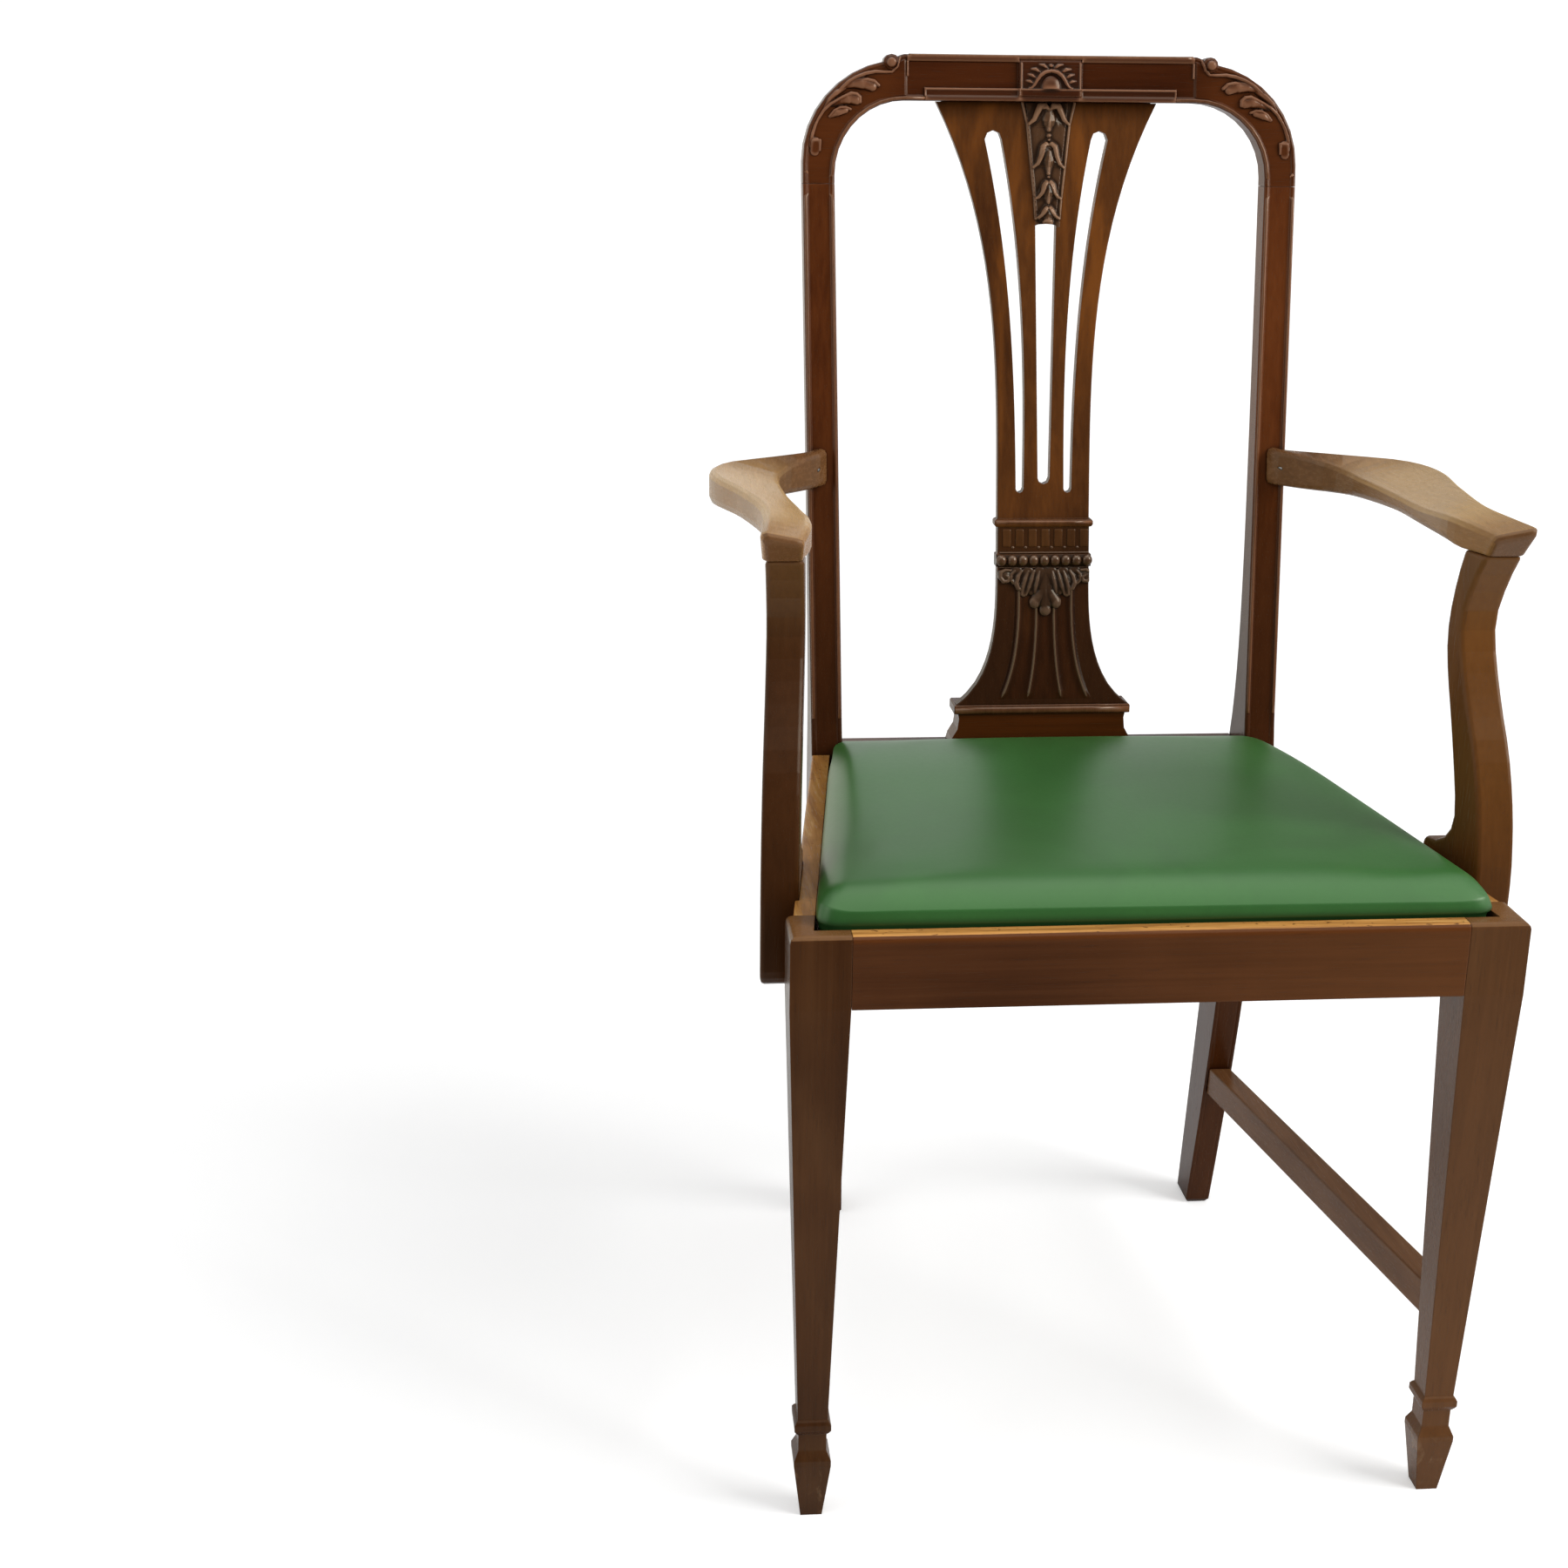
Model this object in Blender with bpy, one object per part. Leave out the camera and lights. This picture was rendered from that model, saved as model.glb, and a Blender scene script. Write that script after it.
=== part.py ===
# Open-arm dining chair with a pierced splat back and a lift-out seat.
# Metres, +Z up, the sitter faces -Y. Left and right are as seen from the front (-X is left).
# Pieces are laid out with y = 0 at the front face of the front legs; the empty "chair"
# then puts the middle of the whole chair over the origin.

import math

import bmesh
import bpy
from mathutils import Vector

for old in list(bpy.data.objects):
    bpy.data.objects.remove(old, do_unlink=True)

# Overall sizes
SEAT_HEIGHT = 0.455          # top of the seat rails
TOTAL_HEIGHT = 1.016         # top of the crest rail
FRONT_WIDTH = 0.500          # over the front legs
BACK_WIDTH = 0.3975          # over the back posts at seat height
POST_FRONT = 0.4115          # front face of the back posts at seat height
FIT = 0.0003                 # gap left between touching pieces

# Seat rails and the rebate that the lift-out seat lies in
RAIL_HEIGHT = 0.052
FRONT_RAIL_THICKNESS = 0.022
SIDE_RAIL_THICKNESS = 0.023
REAR_RAIL_FRONT = 0.4225
REAR_RAIL_BACK = 0.4595
RAIL_EDGE_RADIUS = 0.0042
RAIL_ARRIS = 0.0012
FRONT_LIP = 0.0135
SIDE_LIP = 0.0150
REAR_LIP_FRONT = 0.4315
REBATE_DEPTH = 0.0150

# Front legs with a collar and a spade foot
LEG_SIDE = 0.0412
ANKLE_SIDE = 0.0214
COLLAR_SIDE = 0.0262
COLLAR_TOP = 0.0804
COLLAR_BOTTOM = 0.0716
NECK_SIDE = 0.0202
SPADE_TOP = 0.0560
SPADE_SIDE = 0.0266
SPADE_WIDEST = 0.0485
FOOT_SIDE = 0.0156

# Back posts: one piece from the foot to the crest joint
POST_WIDTH = 0.0260
POST_DEPTH_SEAT = 0.0496
POST_DEPTH_TOP = 0.0230
POST_DEPTH_FADE = 0.070
BACK_RAKE = 0.178
POST_SPLAY = 0.0126
REAR_LEG_SWEEP = 0.0365
REAR_LEG_SPLAY = 0.0370
REAR_FOOT_WIDTH = 0.0217
REAR_FOOT_DEPTH = 0.0345
REAR_FOOT_ROUNDING = 0.0035
BEAD_WIDTH = 0.0046
FIELD_SUNK = 0.0013
BACK_EDGE_ROUNDING = 0.0035

# Crest rail
CREST_JOINT_DROP = 0.101     # from the top of the crest to its joint with the posts
CREST_HEIGHT = 0.036
SHOULDER_REACH = 0.0835      # width of the shoulder's quarter ellipse
SHOULDER_RISE = 0.0800       # and its height
SHOULDER_DROP = 0.0042       # how far the shoulder ends below the flat top
ARCH_RADIUS = 0.058
CREST_BOW = 0.010
CREST_DEPTH = 0.028
TABLET_WIDTH = 0.052
TABLET_PROUD = 0.0012
TABLET_STEP = 0.0008
PANEL_MARGIN = 0.0025        # from where the shoulder starts to the panel's end
SCROLL_RADIUS = 0.0068
SCROLL_OFFSET = 0.0131       # from the panel's end to the scroll's middle
SCROLL_LENGTH = 0.012

# Splat and its shoe
SPLAT_THICKNESS = 0.009
SPLAT_FRONT = 0.427
SPLAT_RAKE = 0.195
SPLAT_BASE = 0.0744           # at the very foot of its flare
SPLAT_WAIST = 0.0392
FLARE_POWER = 3.3             # how late the foot spreads
FLARE_TIP = 0.2               # share of the spread that comes in its last few millimetres
FLARE_TIP_POWER = 12.0
SPLAT_TOP = 0.0925
SPLAT_WAIST_RISE = 0.205     # above the seat rails, as all rises here
SPLAT_FLARE_POWER = 3.15
CAP_RISE = 0.1837
CAP_THICKNESS = 0.0057
CAP_HALF_WIDTH = 0.0420
CAP_PROUD = 0.0036
BEAD_ROW_RISE = 0.1510
BEAD_ROW_THICKNESS = 0.0098
BEAD_ROW_HALF_WIDTH = 0.0406
BEAD_ROW_PROUD = 0.0040
DRUM_PROUD = 0.0016
SLOT_RISE = 0.2110
SLOT_TOP_DROP = 0.0225       # below the crest rail's underside, as all drops here
SLOT_OFFSET_LOW = 0.0204
SLOT_OFFSET_TOP = 0.0312
SLOT_OFFSET_POWER = 2.66
SLOT_HALF_LOW = 0.0032
SLOT_HALF_TOP = 0.0043
CENTRE_SLOT_RISE = 0.2180
CENTRE_SLOT_DROP = 0.0965
CENTRE_SLOT_HALF_LOW = 0.0050
CENTRE_SLOT_TOP_RISE = 0.15  # its top is nearly square
CENTRE_SLOT_HALF_TOP = 0.0088
HUSK_PANEL_TOP_HALF = 0.0175
HUSK_PANEL_LOW_HALF = 0.0080
HUSK_PANEL_DROP = 0.0950
HUSK_PANEL_PROUD = 0.0022
HUSK_DROPS = (0.0025, 0.0360, 0.0620, 0.0810)
HUSK_FALL = 0.0170           # height of the first husk
HUSK_HALF = 0.0155           # half its width at the tips
HUSK_SHRINK = 0.13           # how much smaller each next one is
HUSK_PROUD = 0.0030
SHOE_HALF_WIDTH = 0.0757
SHOE_WAIST_HALF = 0.0712
SHOE_FOOT_HALF = 0.0785
SHOE_RISE = 0.0358
SHOE_MOULDING = 0.0082
SHOE_PROUD = 0.0015
SHOE_BACK_INSET = 0.0020
TONGUE_LENGTH = 0.0070
TONGUE_SHOULDER = 0.0015
TONGUE_ROOT = 0.0040
TONGUE_INSET = 0.0050

# Arms and their supports
ARM_RISE = 0.2290            # from the seat rails to the arm's seat on its support
ARM_HAND_THICKNESS = 0.0178
ARM_HOLLOW = 0.0014          # rise of the underside behind the support
ARM_HOLLOW_ENTRY = 0.020
ARM_HOLLOW_LENGTH = 0.096
ARM_END_DROP = 0.0083        # how far the underside is below the joint at the post
ARM_NOSE = 0.0895
ARM_NOSE_SLANT = 0.0140      # how far the nose leans forward over the joint
ARM_SLANT_FADE = 0.055
ARM_NOSE_ROUNDING = 0.0085
ARM_OVERHANG = 0.0027        # how far the hand's top stands out past the support
ARM_EDGE_ROUNDING = 0.0045
ARM_LOW_EDGE = 0.0012
ARM_LOW_ROUNDING = 0.0070
ARM_SWELL = 0.0225           # reach of the elbow beyond the hand
ARM_ELBOW = 0.3330
ARM_END_WIDTH = 0.0170
ARM_END_INSET = 0.0040
SUPPORT_THICKNESS = 0.0264
SUPPORT_HOUSING = 0.0030     # depth that the support is let into the side rail
SUPPORT_BELOW_RAIL = 0.0140   # its foot hangs below the side rail
SUPPORT_FRONT = 0.0700
SUPPORT_BASE_DEPTH = 0.0780
SUPPORT_CORNER = 0.0130
SUPPORT_SHOULDER = 0.0130    # height of the base's rear shoulder above the rail
SUPPORT_COVE_RISE = 0.0400
SUPPORT_ARRIS = 0.0028

# Side stretchers
STRETCHER_WIDTH = 0.0190
STRETCHER_HEIGHT = 0.0260
STRETCHER_TOP_FRONT = 0.1610
STRETCHER_TOP_BACK = 0.1480

# Joints inside the wood
TENON_THICKNESS = 0.0080
TENON_LENGTH = 0.0170
TENON_HEIGHT = 0.0220
TENON_ABOVE_RAIL_BOTTOM = 0.0070
STRETCHER_TENON_LENGTH = 0.0100
STRETCHER_TENON_HEIGHT = 0.0160
STRETCHER_TENON_THICKNESS = 0.0080
CREST_TENON_LENGTH = 0.0160
CREST_TENON_WIDTH = 0.0120
CREST_TENON_THICKNESS = 0.0080
DOWEL_RADIUS = 0.0040
DOWEL_LENGTH = 0.0300

# Corner blocks and screws
BLOCK_THICKNESS = 0.0200
BLOCK_REACH_ALONG_RAIL = 0.0540
BLOCK_REACH_ALONG_SIDE = 0.0560
SCREW_SHANK_RADIUS = 0.0019
SCREW_HEAD_RADIUS = 0.0038
SCREW_HEAD_HEIGHT = 0.0026
SCREW_POINT_LENGTH = 0.0040
SCREW_SINK = 0.0006
BLOCK_BELOW_LEDGE = 0.0030
BLOCK_SCREW_LENGTH = 0.0260
ARM_SCREW_LENGTH = 0.0400
SUPPORT_SCREW_LENGTH = 0.0360

# Lift-out seat
SEAT_CLEARANCE = 0.0012
SEAT_FRAME_THICKNESS = 0.0140
SEAT_FRAME_WIDTH = 0.0420
WEB_WIDTH = 0.0480
WEB_THICKNESS = 0.0012
WEB_COUNT = 3
WEB_LAP = 0.0300
CLOTH_THICKNESS = 0.0008
COVER_THICKNESS = 0.0012
SEAT_CROWN = 0.0215          # top of the crown above the seat rails
SEAT_ROLL = 0.0095           # height of the rolled edge above the seat rails
SEAT_CORNER = 0.0100
SEAT_BACK_CORNER = 0.6       # share of the front corner's radius
SEAT_NOTCH_CORNER = 0.0012
SEAT_DRAWN_IN = 0.0014       # how far the cover is pulled in against the seat frame

# Values that follow from those above
RAIL_BOTTOM = SEAT_HEIGHT - RAIL_HEIGHT
LEDGE = SEAT_HEIGHT - REBATE_DEPTH
SIDE_TAPER = (FRONT_WIDTH - BACK_WIDTH) / 2.0 / POST_FRONT
LEG_CENTRE = (FRONT_WIDTH - LEG_SIDE) / 2.0
ARCH_TOP = TOTAL_HEIGHT - CREST_HEIGHT
CREST_JOINT = TOTAL_HEIGHT - CREST_JOINT_DROP
SPLAT_WAIST_HEIGHT = SEAT_HEIGHT + SPLAT_WAIST_RISE
CAP_HEIGHT = SEAT_HEIGHT + CAP_RISE
BEAD_ROW_HEIGHT = SEAT_HEIGHT + BEAD_ROW_RISE
SLOT_BOTTOM = SEAT_HEIGHT + SLOT_RISE
SLOT_TOP = ARCH_TOP - SLOT_TOP_DROP
CENTRE_SLOT_BOTTOM = SEAT_HEIGHT + CENTRE_SLOT_RISE
CENTRE_SLOT_TOP = ARCH_TOP - CENTRE_SLOT_DROP
HUSK_PANEL_BOTTOM = ARCH_TOP - HUSK_PANEL_DROP
HUSK_TOPS = [ARCH_TOP - drop for drop in HUSK_DROPS]
SHOE_TOP = SEAT_HEIGHT + SHOE_RISE
ARM_JOINT = SEAT_HEIGHT + ARM_RISE
ARM_HAND_TOP = ARM_JOINT + ARM_HAND_THICKNESS
SUPPORT_BOTTOM = RAIL_BOTTOM - SUPPORT_BELOW_RAIL
SUPPORT_COVE_TOP = SEAT_HEIGHT + SUPPORT_COVE_RISE
CREST_TOP_BACK = TOTAL_HEIGHT - BACK_EDGE_ROUNDING - SEAT_HEIGHT
CHAIR_DEPTH = POST_FRONT + BACK_RAKE * CREST_TOP_BACK + CREST_BOW + CREST_DEPTH
SIDES = (("left", -1.0), ("right", 1.0))


# Helpers

def material(name, colour, roughness, metallic=0.0):
    """A plain Principled material; the colour is linear RGB."""
    mat = bpy.data.materials.new(name)
    mat.use_nodes = True
    shader = mat.node_tree.nodes["Principled BSDF"]
    shader.inputs["Base Color"].default_value = (*colour, 1.0)
    shader.inputs["Roughness"].default_value = roughness
    shader.inputs["Metallic"].default_value = metallic
    mat.diffuse_color = (*colour, 1.0)
    return mat


MAHOGANY = material("dark mahogany", (0.085, 0.026, 0.014), 0.35)
SPLAT_WOOD = material("golden mahogany", (0.155, 0.055, 0.020), 0.35)
WORN_WOOD = material("worn mahogany", (0.40, 0.22, 0.10), 0.40)
BEECH = material("plain beech", (0.48, 0.33, 0.19), 0.60)
LEATHERCLOTH = material("green leathercloth", (0.030, 0.150, 0.050), 0.38)
HESSIAN = material("hessian", (0.36, 0.27, 0.15), 0.90)
WEBBING = material("jute webbing", (0.40, 0.30, 0.17), 0.85)
PADDING = material("cotton felt", (0.60, 0.56, 0.48), 0.95)
STEEL = material("steel", (0.42, 0.41, 0.40), 0.35, 1.0)

chair = bpy.data.objects.new("chair", None)
chair.location = (0.0, -CHAIR_DEPTH / 2.0, 0.0)
bpy.context.scene.collection.objects.link(chair)
drop_seat = bpy.data.objects.new("drop_seat", None)
drop_seat.location = (0.0, (FRONT_LIP + REAR_LIP_FRONT) / 2.0, LEDGE)
drop_seat.parent = chair
bpy.context.scene.collection.objects.link(drop_seat)


def add(name, bm, mat, parent=chair, smooth=None):
    """Turn a bmesh, drawn in chair coordinates, into a named object under its parent."""
    bmesh.ops.recalc_face_normals(bm, faces=bm.faces)
    origin = Vector((0.0, 0.0, 0.0)) if parent is chair else parent.location.copy()
    bmesh.ops.translate(bm, verts=bm.verts, vec=-origin)
    mesh = bpy.data.meshes.new(name)
    bm.to_mesh(mesh)
    bm.free()
    mesh.materials.append(mat)
    if smooth is not None:
        mesh.shade_smooth()
        mesh.set_sharp_from_angle(angle=math.radians(smooth))
    obj = bpy.data.objects.new(name, mesh)
    obj.parent = parent
    bpy.context.scene.collection.objects.link(obj)
    return obj


def hide(obj):
    obj.hide_render = True
    obj.display_type = "WIRE"
    return obj


def boolean(target, other, operation):
    mod = target.modifiers.new(operation.lower() + " " + other.name, "BOOLEAN")
    mod.operation = operation
    mod.solver = "EXACT"
    mod.object = other


def bevel(obj, width, segments=2):
    mod = obj.modifiers.new("arris", "BEVEL")
    mod.width = width
    mod.segments = segments
    mod.limit_method = "ANGLE"
    mod.angle_limit = math.radians(40.0)


def loft(rings):
    """Skin equal rings of points; the first and last rings are capped."""
    bm = bmesh.new()
    rows = [[bm.verts.new(point) for point in ring] for ring in rings]
    count = len(rows[0])
    for low, high in zip(rows, rows[1:]):
        for i in range(count):
            j = (i + 1) % count
            bm.faces.new((low[i], low[j], high[j], high[i]))
    bm.faces.new(reversed(rows[0]))
    bm.faces.new(rows[-1])
    return bm


def prism(outline, low, high):
    """Extrude a plan outline between two heights."""
    return loft([[(x, y, low) for x, y in outline], [(x, y, high) for x, y in outline]])


def box(centre, size, angle=0.0):
    """A box turned about Z by the given angle."""
    cosine = math.cos(angle)
    sine = math.sin(angle)
    outline = []
    for u, v in ((-0.5, -0.5), (0.5, -0.5), (0.5, 0.5), (-0.5, 0.5)):
        dx = u * size[0]
        dy = v * size[1]
        outline.append((centre[0] + dx * cosine - dy * sine, centre[1] + dx * sine + dy * cosine))
    return prism(outline, centre[2] - size[2] / 2.0, centre[2] + size[2] / 2.0)


def turned(start, direction, profile, sides=12):
    """Skin rings of the given (distance, radius) pairs along a direction."""
    axis = Vector(direction).normalized()
    across = axis.orthogonal().normalized()
    up = axis.cross(across)
    rings = []
    for distance, radius in profile:
        centre = Vector(start) + axis * distance
        ring = []
        for i in range(sides):
            angle = 2.0 * math.pi * (i + 0.5) / sides
            ring.append(centre + across * (radius * math.cos(angle)) + up * (radius * math.sin(angle)))
        rings.append(ring)
    return loft(rings)


def smoothstep(value):
    value = min(1.0, max(0.0, value))
    return value * value * (3.0 - 2.0 * value)


def through(points, value):
    """Smooth curve through (key, result) points, read at one key."""
    if value <= points[0][0]:
        return points[0][1]
    for i in range(len(points) - 1):
        a, b = points[i], points[i + 1]
        if value <= b[0]:
            before = points[max(i - 1, 0)]
            after = points[min(i + 2, len(points) - 1)]
            slope_a = (b[1] - before[1]) / (b[0] - before[0])
            slope_b = (after[1] - a[1]) / (after[0] - a[0])
            span = b[0] - a[0]
            t = (value - a[0]) / span
            rise = (3.0 - 2.0 * t) * t * t
            return (
                a[1] + (b[1] - a[1]) * rise
                + slope_a * span * t * (1.0 - t) ** 2
                - slope_b * span * t * t * (1.0 - t)
            )
    return points[-1][1]


def steps(start, end, count):
    return [start + (end - start) * i / count for i in range(count + 1)]


def rounded(corners, segments=3):
    """Round the corners of a plan outline; each corner is (x, y, radius)."""
    outline = []
    total = len(corners)
    for i, (x, y, radius) in enumerate(corners):
        here = Vector((x, y))
        if radius == 0.0:
            outline.append((x, y))
            continue
        towards = (Vector(corners[i - 1][:2]) - here).normalized()
        onwards = (Vector(corners[(i + 1) % total][:2]) - here).normalized()
        half = towards.angle(onwards) / 2.0
        reach = radius / math.tan(half)
        middle = here + (towards + onwards).normalized() * (radius / math.sin(half))
        first = here + towards * reach - middle
        last = here + onwards * reach - middle
        for step in range(segments + 1):
            arm = first.lerp(last, step / segments).normalized() * radius
            outline.append(tuple(middle + arm))
    return outline


def side_outer(y):
    """x of the outer face of a side rail."""
    return FRONT_WIDTH / 2.0 - SIDE_TAPER * y


SIDE_COSINE = 1.0 / math.sqrt(1.0 + SIDE_TAPER * SIDE_TAPER)
SIDE_ANGLE = math.atan(SIDE_TAPER)


def side_inner(y, thickness=SIDE_RAIL_THICKNESS):
    """x of a line inside the side rail's outer face, the thickness measured square to it."""
    return side_outer(y) - thickness / SIDE_COSINE


# Joints and screws

def tenon(piece, into, centre, size, angle=0.0):
    """Add a tenon to one piece and cut its mortise, a fit wider, in the piece it enters."""
    tongue = hide(add(piece.name + "_tenon", box(centre, size, angle), BEECH))
    grown = [length + 2.0 * FIT for length in size]
    mortise = hide(add(into.name + "_mortise", box(centre, grown, angle), BEECH))
    boolean(piece, tongue, "UNION")
    boolean(into, mortise, "DIFFERENCE")


def screw(name, head, direction, length, pieces, parent=chair):
    """A countersunk screw, its head's face at the given point, and its hole in each piece."""
    def profile(extra):
        head_radius = SCREW_HEAD_RADIUS + extra
        shank = SCREW_SHANK_RADIUS + extra
        return (
            (-extra, head_radius),
            (extra, head_radius),
            (SCREW_HEAD_HEIGHT + extra, shank),
            (length - SCREW_POINT_LENGTH, shank),
            (length + extra, shank * 0.25),
        )
    body = profile(0.0)[1:]
    add(name, turned(head, direction, body), STEEL, parent, smooth=40.0)
    hole = ((-SCREW_SINK - 2.0 * FIT, SCREW_HEAD_RADIUS + FIT),) + profile(FIT)[1:]
    cutter = hide(add(name + "_hole", turned(head, direction, hole), STEEL))
    for piece in pieces:
        boolean(piece, cutter, "DIFFERENCE")


# Front legs

def front_leg(name, side):
    """Square leg, tapered on four sides, over a collar and a spade foot."""
    def ring(half, z, inset=0.0):
        inner = LEG_CENTRE - half
        outer = LEG_CENTRE + half - inset
        front = LEG_SIDE / 2.0 - half + inset
        back = LEG_SIDE / 2.0 + half
        return [(side * x, y, z) for x, y in ((inner, front), (outer, front), (outer, back), (inner, back))]

    leg = LEG_SIDE / 2.0
    rings = [
        ring(FOOT_SIDE / 2.0, 0.0),
        ring(SPADE_SIDE / 2.0, SPADE_WIDEST - 0.004),
        ring(SPADE_SIDE / 2.0, SPADE_WIDEST),
        ring(NECK_SIDE / 2.0, SPADE_TOP),
        ring(NECK_SIDE / 2.0, COLLAR_BOTTOM - 0.0025),
        ring(COLLAR_SIDE / 2.0 - 0.0012, COLLAR_BOTTOM),
        ring(COLLAR_SIDE / 2.0, COLLAR_BOTTOM + 0.0022),
        ring(COLLAR_SIDE / 2.0, COLLAR_TOP - 0.0022),
        ring(COLLAR_SIDE / 2.0 - 0.0012, COLLAR_TOP),
        ring(ANKLE_SIDE / 2.0, COLLAR_TOP + 0.0012),
        ring(leg, RAIL_BOTTOM),
    ]
    for step in range(4):
        angle = math.radians(30.0 * step)
        inset = RAIL_EDGE_RADIUS * (1.0 - math.cos(angle))
        rings.append(ring(leg, SEAT_HEIGHT - RAIL_EDGE_RADIUS * (1.0 - math.sin(angle)), inset))
    return add(name, loft(rings), MAHOGANY)


# Back posts

def post_outer(z):
    if z >= RAIL_BOTTOM:
        return BACK_WIDTH / 2.0 + POST_SPLAY * max(0.0, z - SEAT_HEIGHT)
    return BACK_WIDTH / 2.0 - REAR_LEG_SPLAY * (RAIL_BOTTOM - z)


def post_width(z):
    return REAR_FOOT_WIDTH + (POST_WIDTH - REAR_FOOT_WIDTH) * min(1.0, z / RAIL_BOTTOM)


def back_front(z):
    """y of the front of the back, where its posts lean above the seat and sweep below it."""
    if z >= SEAT_HEIGHT:
        return POST_FRONT + BACK_RAKE * (z - SEAT_HEIGHT)
    return POST_FRONT + REAR_LEG_SWEEP * max(0.0, 1.0 - z / RAIL_BOTTOM) ** 2


def post_depth(z):
    if z >= SEAT_HEIGHT:
        fade = math.exp(-(z - SEAT_HEIGHT) / POST_DEPTH_FADE)
        return POST_DEPTH_TOP + (POST_DEPTH_SEAT - POST_DEPTH_TOP) * fade
    drop = max(0.0, 1.0 - z / RAIL_BOTTOM)
    foot_back = POST_FRONT + REAR_LEG_SWEEP + REAR_FOOT_DEPTH
    back = POST_FRONT + POST_DEPTH_SEAT
    return back + (foot_back - back) * drop - back_front(z)


def beaded_front(width, sunk, beaded=1.0):
    """(across, inset) points of a front face with a bead along each edge of a sunk field."""
    shape = ((0.0, 0.45), (0.14, 0.13), (0.45, 0.0), (0.80, 0.12))
    half = [(a * BEAD_WIDTH, d * BEAD_WIDTH * (0.35 + 0.65 * beaded)) for a, d in shape]
    half.append((BEAD_WIDTH, sunk * beaded))
    return half + [(width - a, d) for a, d in reversed(half)]


def frame_section(width, depth, sunk, beaded=1.0):
    """(across, inset) points right round a section of a post or of the crest rail."""
    edge = BACK_EDGE_ROUNDING
    back = [
        (width, depth - edge),
        (width - 0.3 * edge, depth - 0.3 * edge),
        (width - edge, depth),
        (edge, depth),
        (0.3 * edge, depth - 0.3 * edge),
        (0.0, depth - edge),
    ]
    return beaded_front(width, sunk, beaded) + back


def back_post(name, side):
    heights = [0.0, REAR_FOOT_ROUNDING]
    heights += steps(0.045, RAIL_BOTTOM, 7)
    heights += steps(SEAT_HEIGHT, SEAT_HEIGHT + 0.20, 10)
    heights += steps(heights[-1], CREST_JOINT - FIT / 2.0, 4)[1:]
    rings = []
    for z in heights:
        width = post_width(z)
        beaded = smoothstep((z - SEAT_HEIGHT) / 0.02)
        inset = REAR_FOOT_ROUNDING * 0.6 if z == 0.0 else 0.0
        inner = post_outer(z) - width
        front = back_front(z)
        middle = front + post_depth(z) / 2.0
        ring = []
        for across, inward in frame_section(width, post_depth(z), FIELD_SUNK, beaded):
            x = inner + across
            y = front + inward
            x += inset if across < width / 2.0 else -inset
            y += inset if y < middle else -inset
            ring.append((side * x, y, z))
        rings.append(ring)
    return add(name, loft(rings), MAHOGANY, smooth=35.0)


# Crest rail

def crest_bow(x):
    """How far the crest rail bows backwards between the posts."""
    reach = min(1.0, abs(x) / (post_outer(CREST_JOINT) - POST_WIDTH))
    return CREST_BOW * (1.0 - reach * reach)


def crest_front(x, z):
    return back_front(z) + crest_bow(x)


def crest_depth(x):
    across = abs(x) / (post_outer(CREST_JOINT) - POST_WIDTH)
    return POST_DEPTH_TOP + (CREST_DEPTH - POST_DEPTH_TOP) * (1.0 - smoothstep((across - 0.55) / 0.4))


def panel_end():
    """x of the outer end of the crest's flat top and its sunk panel."""
    return post_outer(CREST_JOINT) - SHOULDER_REACH - PANEL_MARGIN


def crest_stations():
    """(inner point, outer point, sunk) from the right joint over the top to the middle."""
    outer_x = post_outer(CREST_JOINT)
    inner_x = outer_x - POST_WIDTH
    low = CREST_JOINT + FIT / 2.0
    stations = [((inner_x, low), (outer_x, low), FIELD_SUNK)]
    for step in range(10):
        angle = math.radians(10.0 * step)
        turn = (math.cos(angle), math.sin(angle))
        top = TOTAL_HEIGHT - (SHOULDER_DROP if step < 9 else 0.0)
        arch = (inner_x - ARCH_RADIUS * (1.0 - turn[0]), ARCH_TOP - ARCH_RADIUS * (1.0 - turn[1]))
        shoulder = (
            outer_x - SHOULDER_REACH * (1.0 - turn[0]),
            top - SHOULDER_RISE * (1.0 - turn[1]),
        )
        stations.append((arch, shoulder, FIELD_SUNK * (1.0 - smoothstep((step - 6.0) / 3.0))))
    tablet = TABLET_WIDTH / 2.0
    flat = [(x, FIELD_SUNK) for x in steps(panel_end(), tablet + TABLET_STEP, 3)]
    flat += [(tablet, -TABLET_PROUD), (0.0, -TABLET_PROUD)]
    stations += [((x, ARCH_TOP), (x, TOTAL_HEIGHT), sunk) for x, sunk in flat]
    return stations


def crest_rail():
    def ring(side, inner, outer, sunk):
        inner = Vector(inner)
        outer = Vector(outer)
        width = (outer - inner).length
        middle = (inner + outer) / 2.0
        points = []
        for across, inward in frame_section(width, crest_depth(middle.x), sunk):
            x, z = inner.lerp(outer, across / width)
            points.append((side * x, crest_front(x, z) + inward, z))
        return points

    stations = crest_stations()
    rings = [ring(1.0, *station) for station in stations]
    rings += [ring(-1.0, *station) for station in reversed(stations[:-1])]
    crest = add("crest_rail", loft(rings), MAHOGANY, smooth=35.0)
    for label, side in SIDES:
        x = panel_end() + SCROLL_OFFSET
        z = TOTAL_HEIGHT - SCROLL_RADIUS
        front = crest_front(x, z)
        profile = (
            (-0.0030, SCROLL_RADIUS * 0.45),
            (-0.0022, SCROLL_RADIUS * 0.77),
            (0.0, SCROLL_RADIUS),
            (SCROLL_LENGTH, SCROLL_RADIUS),
        )
        scroll = turned((side * x, front, z), (0.0, 1.0, 0.0), profile)
        boolean(crest, hide(add("crest_scroll_" + label, scroll, MAHOGANY)), "UNION")
    return crest


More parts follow.
